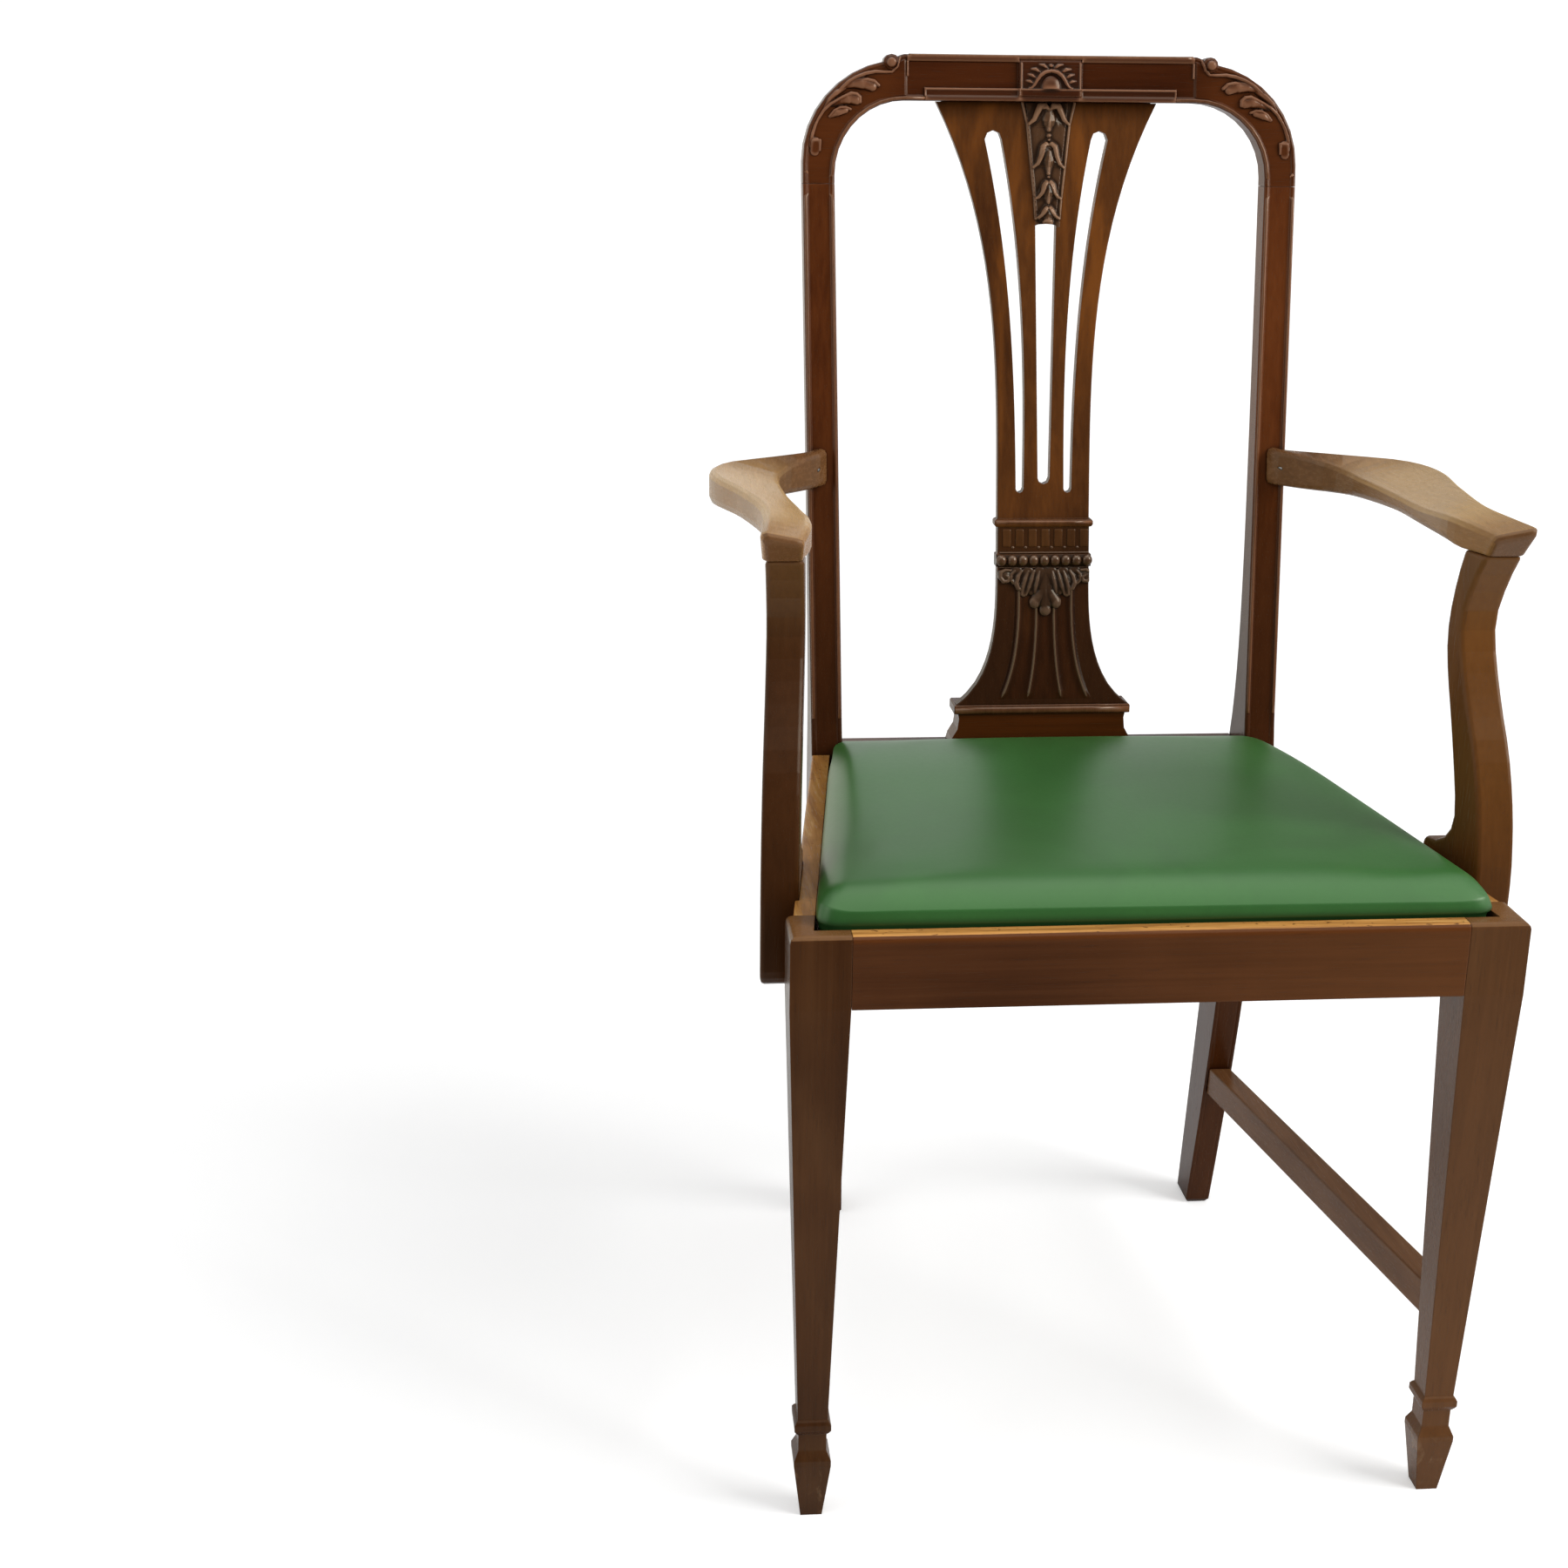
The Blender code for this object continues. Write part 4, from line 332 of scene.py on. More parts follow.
def wood(
    name, along, tones, worn=None, rim=None,
    gloss=0.20, rounding=0.0013, wax_and_shade=0.0, carved=None, shine=0.18,
):
    """A varnished wood whose grain runs along one axis.

    tones are (dark, middle, light); worn(finish) lists (mask, tone), and some masks are painted
    light or shade; rim is (tone, strength) of rubbed edges with a painted highlight; gloss is the
    roughness; waxed is how much dark wax and painted shade lies in the corners; carved is (hollow
    tone, crest tone) for a skin with the relief attribute, painted shade in the hollows and a
    painted highlight on the crests as well as wax and rubbing; shine is the varnish's strength.
    """
    dark, middle, light = tones
    finish = Finish(name)
    axes = GRAIN[along]
    ribbon = finish.stretched(axes(1.8, 20.0), 3.0, 0.4)
    fibre = finish.stretched(axes(6.0, 300.0), 3.0, 0.2)
    pores = finish.stretched(axes(48.0, 1400.0), 1.0)
    cloud = finish.stretched((5.5, 5.5, 5.5), 3.0, 0.4)
    figure = ribbon * 0.42 + cloud * 0.36 + fibre * 0.22
    colour = finish.mix(figure.ramp(0.38, 0.53), dark, middle)
    colour = finish.mix(figure.ramp(0.49, 0.65) * 0.8, colour, light)
    for mask, tone in (worn(finish) if worn else ()):
        colour = finish.mix(mask, colour, finish.mix(figure.ramp(0.38, 0.62), shade(tone, 0.80), tone))
    pore = pores.ramp(0.60, 0.72)
    colour = finish.mix(pore * 0.30, colour, shade(dark, 0.4))
    rounded, edge = rounded_edge(finish, rounding)
    # rubbed arrises: partly wear, and partly a painted highlight along every edge
    rim_tone, rim_strength = rim or (shade(light, 1.7), 0.45)
    colour = finish.mix(edge * cloud.ramp(0.25, 0.60, 0.4, 1.0) * rim_strength, colour, rim_tone)
    # painted shade: where the Ambient Occlusion node finds a corner, dark wax and shade are painted
    if wax_and_shade:
        open_sky = finish.node("ShaderNodeAmbientOcclusion", {"samples": 5}, {"Distance": 0.006}, "AO")
        colour = finish.mix(open_sky.ramp(0.88, 0.40) * wax_and_shade, colour, shade(dark, 0.30))
    roughness = gloss + fibre * 0.06 + pore * 0.08
    # painted shade in the hollows of a carving and a painted highlight on its crests, with its wax and
    # rubbing
    if carved:
        hollow, crest = carved
        relief = finish.node("ShaderNodeAttribute", {"attribute_name": "relief"}, {}, "Fac")
        colour = finish.mix(relief.ramp(0.06, -0.45) * 0.9, colour, hollow)
        colour = finish.mix(relief.ramp(0.12, 0.80) * cloud.ramp(0.20, 0.60, 0.55, 1.0), colour, crest)
    height = fibre * 0.5 - pore
    normal = finish.bump(height, 0.12, 0.0002, rounded)
    return finish.surface(colour, roughness, normal, Specular_IOR_Level=shine, Specular_Tint=WARM)


# %% [markdown]
# Wood darkens and wears by place. Hands have polished the arms down to a tan; the top edges of
# the seat rails, where the seat is lifted in and out, are golden; the foot of the splat is the
# darkest. Other marks are painted light and shade: the posts are painted darker downwards, the
# legs and supports lighter on the right, and the flats behind the capital's beads and ribs dark.
# Each is a smooth mask over the height, the side or the direction of a face.

# %% Where the wood is worn, and where light and shade are painted
RAIL_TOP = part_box("front_rail")[1].z
ARM_LOW, ARM_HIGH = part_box("arm_left")
SHOE_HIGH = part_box("splat_shoe")[1]
BEAD_ROW = (0.6058, 0.6162)      # heights of the flat that carries the capital's beads
FRIEZE_TOP = 0.6385              # top of the flat behind its ribs
TAN = (0.560, 0.345, 0.140)
HONEY = (0.300, 0.145, 0.048)
GOLD = (0.700, 0.330, 0.085)
WORN_BROWN = (0.140, 0.064, 0.024)
SHADOW_BROWN = (0.034, 0.0100, 0.0026)
POST_BROWN = (0.095, 0.0235, 0.0045)


def post_painted_shade(finish):
    x, y, z = finish.xyz()
    # painted shade: the posts are painted darker downwards towards the seat
    return [(z.ramp(0.76, 0.54) * 0.75, SHADOW_BROWN)]


def crest_wear(finish):
    """The shoulders are as light as the posts; the panels between them are darker."""
    x, y, z = finish.xyz()
    return [(x.size().ramp(0.105, 0.150) * 0.85, POST_BROWN)]


def arm_wear(finish):
    x, y, z = finish.xyz()
    _, north, up = finish.facing()
    patch = finish.stretched((9.0, 5.0, 9.0), 2.0, 0.3)
    forward = y.ramp(ARM_HIGH.y - 0.03, ARM_HIGH.y - 0.13)
    front_end = north.ramp(-0.30, -0.75) * y.ramp(ARM_LOW.y + 0.030, ARM_LOW.y + 0.015)
    return [
        (forward * patch.ramp(0.15, 0.55, 0.55, 0.9), HONEY),
        (up.ramp(-0.10, 0.65) * forward * patch.ramp(0.20, 0.50, 0.75, 1.0), TAN),
        (y.ramp(ARM_LOW.y + 0.070, ARM_LOW.y + 0.010) * 0.70, (0.300, 0.145, 0.050)),
        (front_end * 0.85, (0.125, 0.052, 0.019)),
    ]


def rail_wear(finish, streaks, share=1.0):
    """Golden where a rail faces up, with a red-brown arris below; the right side is lighter.

    streaks is the scale of the golden streaks, and share is how strong the gold is.
    """
    x, y, z = finish.xyz()
    _, _, up = finish.facing()
    patch = finish.stretched((24.0, 24.0, 60.0), 3.0, 0.8)
    streak = finish.stretched(streaks, 4.0, 0.4, 0.65)
    speck = finish.stretched((150.0, 260.0, 150.0), 2.0, 0.5)
    top = up.ramp(0.75, 0.95) * z.ramp(RAIL_TOP - 0.0040, RAIL_TOP - 0.0010) * share
    return [
        (x.ramp(-0.15, 0.22) * 0.55, (0.160, 0.0570, 0.0170)),
        (z.ramp(RAIL_TOP - 0.0065, RAIL_TOP - 0.0025) * 0.75, (0.125, 0.0340, 0.0060)),
        (top * patch.ramp(0.10, 0.50, 0.60, 1.0), GOLD),
        (top * streak.ramp(0.44, 0.64) * 0.80, (0.290, 0.115, 0.028)),
        (top * streak.ramp(0.44, 0.30) * 0.60, (0.800, 0.520, 0.200)),
        (top * speck.ramp(0.64, 0.72) * 0.85, (0.085, 0.030, 0.010)),
    ]


def leg_wear_and_light(finish):
    x, y, z = finish.xyz()
    _, _, up = finish.facing()
    patch = finish.stretched((11.0, 11.0, 5.0), 3.0, 0.4)
    scuff = finish.stretched((90.0, 90.0, 60.0), 3.0, 0.8)
    return [
        # painted light: towards the right the legs are painted a lighter brown, as on the lit side
        (x.ramp(-0.05, 0.20) * 0.6, (0.147, 0.0620, 0.0227)),
        (patch.ramp(0.50, 0.78) * 0.35, WORN_BROWN),
        (z.ramp(0.062, 0.030) * scuff.ramp(0.56, 0.72) * 0.45, (0.240, 0.140, 0.070)),
        (up.ramp(0.40, 0.90) * z.ramp(RAIL_TOP - 0.006, RAIL_TOP - 0.002) * 0.8, (0.230, 0.105, 0.036)),
    ]


def support_light_and_shade(finish):
    """Painted light and shade: the right support is painted a golden brown, less so towards its foot, the
    left one is painted darker, and both are painted lighter near the arms.
    """
    x, y, z = finish.xyz()
    return [
        (x.ramp(0.02, -0.02) * 0.65, (0.038, 0.0130, 0.0030)),
        (x.ramp(-0.02, 0.02) * z.ramp(0.46, 0.56, 0.45, 0.75), (0.160, 0.0600, 0.0120)),
        (z.ramp(0.600, 0.690) * 0.45, (0.190, 0.0900, 0.0320)),
    ]


def splat_wear_and_shade(finish):
    x, y, z = finish.xyz()
    patch = finish.stretched((34.0, 8.0, 8.0), 3.0, 0.8)
    amber = patch.ramp(0.46, 0.70) * z.ramp(0.64, 0.74)
    bead_row = z.ramp(BEAD_ROW[0] - 0.0004, BEAD_ROW[0] + 0.0004) * z.ramp(BEAD_ROW[1], BEAD_ROW[1] - 0.0008)
    frieze = z.ramp(BEAD_ROW[1] + 0.0010, BEAD_ROW[1] + 0.0018) * z.ramp(FRIEZE_TOP, FRIEZE_TOP - 0.0010)
    return [
        (z.ramp(0.625, 0.580) * 0.8, (0.030, 0.0100, 0.0036)),
        (amber * 0.9, (0.170, 0.052, 0.0085)),
        # painted shade: the flats behind the row of beads and behind the ribs are painted dark, as shade
        # between them
        (bead_row * 0.9, (0.016, 0.0060, 0.0026)),
        (frieze * 0.8, (0.036, 0.0130, 0.0040)),
    ]


def shoe_darker_top(finish):
    x, y, z = finish.xyz()
    # darker from about ten millimetres below the shoe's top upwards
    return [(z.ramp(SHOE_HIGH.z - 0.0130, SHOE_HIGH.z - 0.0090) * 0.5, (0.048, 0.0115, 0.0020))]


DEEP = ((0.024, 0.0050, 0.0009), (0.043, 0.0088, 0.0014), (0.064, 0.0145, 0.0026))
SHOE = ((0.050, 0.0120, 0.0020), (0.078, 0.0180, 0.0030), (0.110, 0.0280, 0.0052))
POST = ((0.060, 0.0135, 0.0026), POST_BROWN, (0.130, 0.0350, 0.0075))
BROWN = ((0.046, 0.0140, 0.0042), (0.067, 0.0215, 0.0068), (0.094, 0.0320, 0.0105))
LEG = ((0.034, 0.0110, 0.0030), (0.050, 0.0170, 0.0048), (0.072, 0.0260, 0.0078))
FADED = ((0.090, 0.0360, 0.0130), (0.130, 0.0550, 0.0210), (0.180, 0.0830, 0.0340))
GOLDEN = ((0.050, 0.0155, 0.0040), (0.085, 0.0270, 0.0062), (0.132, 0.0430, 0.0090))
ARM = ((0.095, 0.0400, 0.0130), (0.160, 0.0700, 0.0240), (0.230, 0.1120, 0.0420))
BEECH = ((0.33, 0.21, 0.11), (0.46, 0.31, 0.17), (0.56, 0.40, 0.24))
# pale red rubbed arrises, with a painted highlight
RUBBED_AND_HIGHLIT_RED = ((0.230, 0.105, 0.062), 0.70)

mahogany_up = wood("mahogany upright", "z", POST, post_painted_shade, RUBBED_AND_HIGHLIT_RED, rounding=0.0006, wax_and_shade=0.85)
mahogany_across = wood("mahogany across", "x", DEEP, crest_wear, RUBBED_AND_HIGHLIT_RED, rounding=0.0006, wax_and_shade=0.85)
shoe_wood = wood("shoe mahogany", "x", SHOE, shoe_darker_top, RUBBED_AND_HIGHLIT_RED, rounding=0.0006, wax_and_shade=0.8)
leg_wood = wood("leg mahogany", "z", LEG, leg_wear_and_light)
stretcher_wood = wood("stretcher mahogany", "y", FADED)
rail_wood_x = wood(
    "front rail mahogany", "x", BROWN, lambda finish: rail_wear(finish, (9.0, 260.0, 90.0))
)
rail_wood_y = wood(
    "side rail mahogany", "y", BROWN, lambda finish: rail_wear(finish, (160.0, 12.0, 90.0), 0.75)
)
support_wood = wood("support mahogany", "z", BROWN, support_light_and_shade, rounding=0.0018)
splat_wood = wood(
    "golden mahogany", "z", GOLDEN, splat_wear_and_shade, ((0.20, 0.105, 0.052), 0.5), rounding=0.0009, wax_and_shade=0.8
)
arm_wood = wood("worn arm mahogany", "y", ARM, arm_wear, gloss=0.24, rounding=0.0020, shine=0.30)
beech_x = wood("beech across", "x", BEECH, gloss=0.55)
beech_y = wood("beech along", "y", BEECH, gloss=0.55)

# %% [markdown]
# The materials under the seat are plain: twilled webbing, loose hessian, felt and blued screws.
# A weave is two sets of threads that take turns on top, so two sine waves make it.

# %% Webbing, hessian, felt and steel
def woven(name, thread, light, dark, depth):
    """A weave with the given thread width and depth in metres."""
    finish = Finish(name)
    x, y, z = finish.xyz()
    turns = math.pi / thread
    across = (x * turns).wave()
    along = (y * turns).wave()
    over = across * along
    fray = finish.stretched((900.0, 900.0, 900.0), 2.0)
    colour = finish.mix(over.ramp(-0.8, 0.8), dark, light)
    colour = finish.mix(fray.ramp(0.40, 0.75) * 0.4, colour, shade(dark, 0.6))
    normal = finish.bump(across.size() * along.size() + fray * 0.5, 0.6, depth)
    return finish.surface(colour, 0.88 + fray * 0.10, normal)


def felt():
    finish = Finish("cotton felt")
    lint = finish.stretched((420.0, 420.0, 420.0), 4.0, 1.2)
    colour = finish.mix(lint.ramp(0.35, 0.70), (0.44, 0.40, 0.33), (0.62, 0.58, 0.50))
    return finish.surface(colour, 0.92 + lint * 0.06, finish.bump(lint, 0.7, 0.001))


def steel():
    finish = Finish("screw steel")
    scuff = finish.stretched((700.0, 700.0, 120.0), 3.0)
    colour = finish.mix(scuff.ramp(0.40, 0.65), (0.22, 0.21, 0.20), (0.45, 0.43, 0.41))
    return finish.surface(colour, 0.30 + scuff * 0.25, finish.bump(scuff, 0.2, 0.0001), Metallic=1.0)


webbing = woven("jute webbing", 0.0016, (0.42, 0.31, 0.17), (0.24, 0.17, 0.09), 0.0005)
hessian = woven("hessian", 0.0011, (0.40, 0.30, 0.17), (0.17, 0.12, 0.06), 0.0004)
cotton_felt = felt()
screw_steel = steel()

FINISHES = (
    ("back_post", mahogany_up), ("crest", mahogany_across), ("splat_shoe", shoe_wood),
    ("splat", splat_wood), ("front_leg", leg_wood), ("front_rail", rail_wood_x),
    ("rear_rail", mahogany_across), ("side_rail", rail_wood_y), ("side_stretcher", stretcher_wood),
    ("arm_support", support_wood), ("arm_dowel", beech_y), ("arm_screw", screw_steel),
    ("arm_", arm_wood), ("front_block", beech_x), ("rear_block", beech_x),
    ("seat_frame_front", beech_x), ("seat_frame_back", beech_x), ("seat_frame", beech_y),
    ("web", webbing), ("base_cloth", hessian), ("seat_padding", cotton_felt),
    ("seat_cover", None), ("block_screw", screw_steel), ("support_screw", screw_steel),
)
for name, node in nodes.items():
    finish = next(item for start, item in FINISHES if name.startswith(start))
    if finish is not None:
        node.data.materials.clear()
        node.data.materials.append(finish)

# %% [markdown]
# ## The seat
#
# The seat is green leathercloth drawn tight over felt on a loose frame. Its plan is a trapezium
# with rounded front corners and a notch at each post. Rings of that plan climb the edge, turn
# over the roll and run to the middle, where the stuffing makes a low crown. Blender's Cloth then
# presses the top up a little more, held fast along the frame as by tacks.

# %% Rings of the seat
COVER_LOW, COVER_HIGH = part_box("seat_cover")
SEAT_EDGE = 0.0034          # the edge stands upright up to this height above the rails
OVERHANG = 0.0055           # how far it swells over the rails
ROLL_RISE = 0.0215          # height of the round roll along the edges
CROWN = 0.0050              # height that the stuffing adds towards the middle
BACK_FALL = 0.0110          # how much lower the seat is at its back
FALL_START, FALL_REACH = -0.02, 0.17                        # where in depth it begins to fall
ROLL_FRONT, ROLL_SIDE, ROLL_BACK = 0.030, 0.020, 0.055      # reach of each edge's roll
ROLL_POWER = 0.75           # how steeply the front roll starts
SIDE_TAPER = 0.1246         # how much each side draws in for a metre of depth
DOME = 0.070                # how slowly the middle rises
RING_POINTS = 240
INSETS = (0.00015, 0.0006, 0.0014, 0.0026, 0.0042, 0.0065, 0.0095, 0.0135, 0.019, 0.026, 0.034, 0.043)


def seat_plan(cover):
    """The cover's outline as (x, y) points, read from the solid it replaces."""
    copy = cover.data.copy()
    bm = bmesh.new()
    bm.from_mesh(copy)
    bmesh.ops.remove_doubles(bm, verts=bm.verts, dist=1e-5)
    level = RAIL_TOP - 0.006
    cut = bmesh.ops.bisect_plane(
        bm, geom=bm.verts[:] + bm.edges[:] + bm.faces[:], plane_co=(0, 0, level), plane_no=(0, 0, 1)
    )["geom_cut"]
    edges = [item for item in cut if isinstance(item, bmesh.types.BMEdge)]
    links = {}
    for edge in edges:
        a, b = edge.verts
        links.setdefault(a, []).append(b)
        links.setdefault(b, []).append(a)
    loops = []
    left = set(links)
    while left:
        here = min(left, key=lambda vert: (vert.co.y, vert.co.x))      # the same start each run
        left.discard(here)
        loop = [here]
        while True:
            onward = [v for v in links[here] if v in left]
            if not onward:
                break
            here = onward[0]
            left.discard(here)
            loop.append(here)
        loops.append([(v.co.x, v.co.y) for v in loop])
    bm.free()
    bpy.data.meshes.remove(copy)
    return max(loops, key=lambda loop: max(x for x, y in loop) - min(x for x, y in loop))


def respaced(loop, count):
    """The same closed outline with evenly spaced points, running anticlockwise."""
    points = np.array(loop)
    area = np.sum(points[:, 0] * np.roll(points[:, 1], -1) - np.roll(points[:, 0], -1) * points[:, 1])
    if area < 0.0:
        points = points[::-1]
    closed = np.vstack([points, points[:1]])
    steps = np.hypot(*np.diff(closed, axis=0).T)
    along = np.concatenate([[0.0], np.cumsum(steps)])
    fine = np.linspace(0.0, along[-1], count, endpoint=False)
    return np.stack([np.interp(fine, along, closed[:, i]) for i in (0, 1)], axis=1)


def relaxed(outline, passes):
    """A closed row of points, each drawn towards its neighbours."""
    for _ in range(passes):
        outline = outline * 0.5 + (np.roll(outline, 1, axis=0) + np.roll(outline, -1, axis=0)) * 0.25
    return outline


def swollen(outline, amount):
    """The outline moved outwards, but not where the posts, the shoe and the rear rail stand."""
    tangent = np.roll(outline, -1, axis=0) - np.roll(outline, 1, axis=0)
    outward = np.stack([tangent[:, 1], -tangent[:, 0]], axis=1)
    outward /= np.linalg.norm(outward, axis=1)[:, None]
    clear = np.clip((COVER_HIGH.y - 0.060 - outline[:, 1]) / 0.030, 0.0, 1.0)
    clear = clear * clear * (3.0 - 2.0 * clear) * np.clip(0.7 + 1.5 * outline[:, 0], 0.4, 1.0)
    clear *= 1.0 - 0.75 * np.clip(-outward[:, 1], 0.0, 1.0) ** 2      # hardly over the front rail
    return outline + relaxed(outward * clear[:, None], 3) * amount


OUTLINE = respaced(seat_plan(nodes["seat_cover"]), RING_POINTS)
MIDDLE = np.array([0.0, (COVER_LOW.y + COVER_HIGH.y) / 2.0])
REACH = float(np.linalg.norm(OUTLINE - MIDDLE, axis=1).mean())
print("seat outline:", OUTLINE.min(0), OUTLINE.max(0))


def seat_height(points):
    """Height of the top over plan points: it rises from each of the four edges and levels off."""
    x, y = points[:, 0], points[:, 1]
    front, back = OUTLINE[:, 1].min() - OVERHANG, OUTLINE[:, 1].max()
    half_width = OUTLINE[:, 0].max() + OVERHANG - SIDE_TAPER * (y - front)
    side = (half_width - np.abs(x)) / math.hypot(1.0, SIDE_TAPER)
    rolled = np.sin(np.clip((y - front) / ROLL_FRONT, 0.0, 1.0) * math.pi / 2.0) ** ROLL_POWER
    for inside, reach in ((back - y, ROLL_BACK), (side, ROLL_SIDE)):
        rolled = rolled * np.sqrt(1.0 - (1.0 - np.clip(inside / reach, 0.0, 1.0)) ** 2)
    domed = np.ones(len(points))
    for inside in (y - front, back - y, side):
        domed = domed * (1.0 - np.exp(-np.maximum(inside, 0.0) / DOME))
    fall = BACK_FALL * np.clip((y - FALL_START) / FALL_REACH, 0.0, 1.0) ** 2
    return RAIL_TOP + SEAT_EDGE + (ROLL_RISE - fall) * rolled + CROWN * domed


def level(outline, z):
    return np.column_stack([outline, np.full(len(outline), z)])


def seat_rings():
    """The points of each ring, from the underside over the roll to the middle."""
    low = COVER_LOW.z + 0.0003
    rings = [level(MIDDLE + (OUTLINE - MIDDLE) * share, low) for share in (0.60, 0.90, 0.985)]
    for z in (low + 0.0012, low + 0.006, low + 0.011, RAIL_TOP - 0.0010):
        rings.append(level(OUTLINE, z))
    for height, share in ((0.0010, 0.45), (0.0020, 0.85), (SEAT_EDGE, 1.0)):
        rings.append(level(swollen(OUTLINE, OVERHANG * share), RAIL_TOP + height))
    full = swollen(OUTLINE, OVERHANG)
    shares = [inset / REACH for inset in INSETS]
    shares += list(np.linspace(shares[-1], 0.985, 27)[1:])
    for share in shares:
        ring = MIDDLE + (relaxed(full, int(3 + 170 * share)) - MIDDLE) * (1.0 - share)
        rings.append(np.column_stack([ring, seat_height(ring)]))
    return rings


def seat_mesh():
    bm = bmesh.new()
    rows = []
    for ring in seat_rings():
        rows.append([bm.verts.new(point) for point in ring])
    count = len(OUTLINE)
    for low, high in zip(rows, rows[1:]):
        for i in range(count):
            j = (i + 1) % count
            bm.faces.new((low[i], low[j], high[j], high[i]))
    for row in (rows[0], rows[-1]):
        hub = bm.verts.new(sum((vert.co for vert in row), Vector()) / count)
        for i in range(count):
            bm.faces.new((row[i], row[(i + 1) % count], hub))
    bmesh.ops.recalc_face_normals(bm, faces=bm.faces)
    mesh = bpy.data.meshes.new("seat_cushion")
    bm.to_mesh(mesh)
    bm.free()
    return mesh

# %% [markdown]
# The Cloth runs for twenty frames with a little pressure and no gravity. Points near the rails
# are pinned, and afterwards each move is cut to about a millimetre and evened out along its ring,
# because leathercloth that is drawn down by tacks doesn't pucker.

# %% Press the seat
PRESSURE, FRAMES = 4.0, 20
TACK_FREE, TACK_FADE = 0.0080, 0.0050       # the tacks let go at this height over the rails
MOST_SWELL = 0.0012                         # the furthest that a point may move
MOST_PROUD = 0.0095                         # the highest that it may stand over the solid cover
EVEN_PASSES = 24


def swell(seat):
    rest = np.array([v.co for v in seat.data.vertices])
    pins = seat.vertex_groups.new(name="tacked")
    for index, (x, y, z) in enumerate(rest):
        hold = min(1.0, max(0.0, (RAIL_TOP + TACK_FREE - z) / TACK_FADE))
        if hold > 0.0:
            pins.add([index], hold, "REPLACE")
    cloth = seat.modifiers.new("stuffing", "CLOTH")
    cloth.settings.vertex_group_mass = "tacked"
    cloth.settings.use_pressure = True
    cloth.settings.uniform_pressure_force = PRESSURE
    cloth.settings.quality = 6
    cloth.settings.tension_stiffness = 25.0
    cloth.settings.compression_stiffness = 25.0
    cloth.settings.bending_stiffness = 4.0
    cloth.settings.effector_weights.gravity = 0.0
    cloth.collision_settings.use_collision = False
    cloth.point_cache.frame_end = FRAMES
    scene = bpy.context.scene
    for number in range(1, FRAMES + 1):
        scene.frame_set(number)
    posed = seat.evaluated_get(bpy.context.evaluated_depsgraph_get())
    moved = np.array([v.co for v in posed.data.vertices]) - rest
    scene.frame_set(1)
    seat.modifiers.clear()
    seat.vertex_groups.clear()
    length = np.linalg.norm(moved, axis=1)
    share = np.minimum(1.0, MOST_SWELL / np.maximum(length, 1e-9))
    kept = moved * share[:, None]
    for ring in kept[:-2].reshape(-1, len(OUTLINE), 3):      # the last two points are the hubs
        ring[:] = relaxed(ring, EVEN_PASSES)
    final = rest + kept
    final[:, 2] = np.minimum(final[:, 2], COVER_HIGH.z + MOST_PROUD)
    seat.data.vertices.foreach_set("co", final.astype(np.float32).ravel())
    print("seat swelled by up to", round(float(length.max()) * 1000, 1), "mm, kept", MOST_SWELL * 1000)


def leathercloth():
    """Green coated cloth: a fine pebble, faint clouds and painted shade low on its edge."""
    finish = Finish("green leathercloth")
    x, y, z = finish.xyz()
    pebble = finish.node(
        "ShaderNodeTexVoronoi", {"feature": "SMOOTH_F1"},
        {"Vector": finish.place, "Scale": 950.0, "Smoothness": 0.6}, "Distance"
    )
    cloud = finish.stretched((9.0, 9.0, 9.0), 3.0, 0.6)
    fine = finish.stretched((260.0, 260.0, 260.0), 3.0)
    colour = finish.mix(cloud.ramp(0.35, 0.68), (0.022, 0.098, 0.019), (0.028, 0.119, 0.024))
    colour = finish.mix(fine.ramp(0.45, 0.75) * 0.25, colour, (0.021, 0.098, 0.018))
    # painted shade: the cloth is painted dark in the lowest few millimetres over the rails, as the shade
    # under the roll
    colour = finish.mix(z.ramp(RAIL_TOP + 0.0075, RAIL_TOP + 0.0010) * 0.75, colour, (0.008, 0.026, 0.007))
    roughness = 0.30 + cloud * 0.05 + fine * 0.05
    normal = finish.bump(pebble + fine * 0.3, 0.08, 0.0002)
    tint = (0.88, 1.0, 0.78, 1.0)
    return finish.surface(colour, roughness, normal, Specular_IOR_Level=0.44, Specular_Tint=tint)


seat = bpy.data.objects.new("seat_cushion", seat_mesh())
bpy.context.scene.collection.objects.link(seat)
seat.data.materials.append(leathercloth())
swell(seat)
seat.data.shade_smooth()
round_over = seat.modifiers.new("round over", "SUBSURF")
round_over.levels = 1
round_over.render_levels = 1
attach(seat, "drop_seat")
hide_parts("seat_cover", "seat_padding")
print("seat faces:", len(seat.data.polygons))

# %% [markdown]
# ## Carving
#
# A carver works down from a face; here a thin skin goes over it. The height of the carving is a
# sum of strokes, each a line that swells and tapers like a gouge cut left standing. Rays find
# the wood's own face, so the skin follows its rake and its bow, and where there is no carving
# the skin dives under the face. Its back lies inside the wood, so every skin is a closed body.

# %% Strokes and skins
DIVE = 0.35                 # millimetres that a skin lies under the face where nothing is carved
RELIEF_BLUR = 18.0          # how wide the level is that crests and hollows are measured from
RELIEF_FULL = 0.8           # millimetres over that level that count as a full crest
CLIFF = 0.004               # a skin ends where the wood's face jumps by this much
SKIN_BACK = 0.0012          # depth of a skin's back in the wood


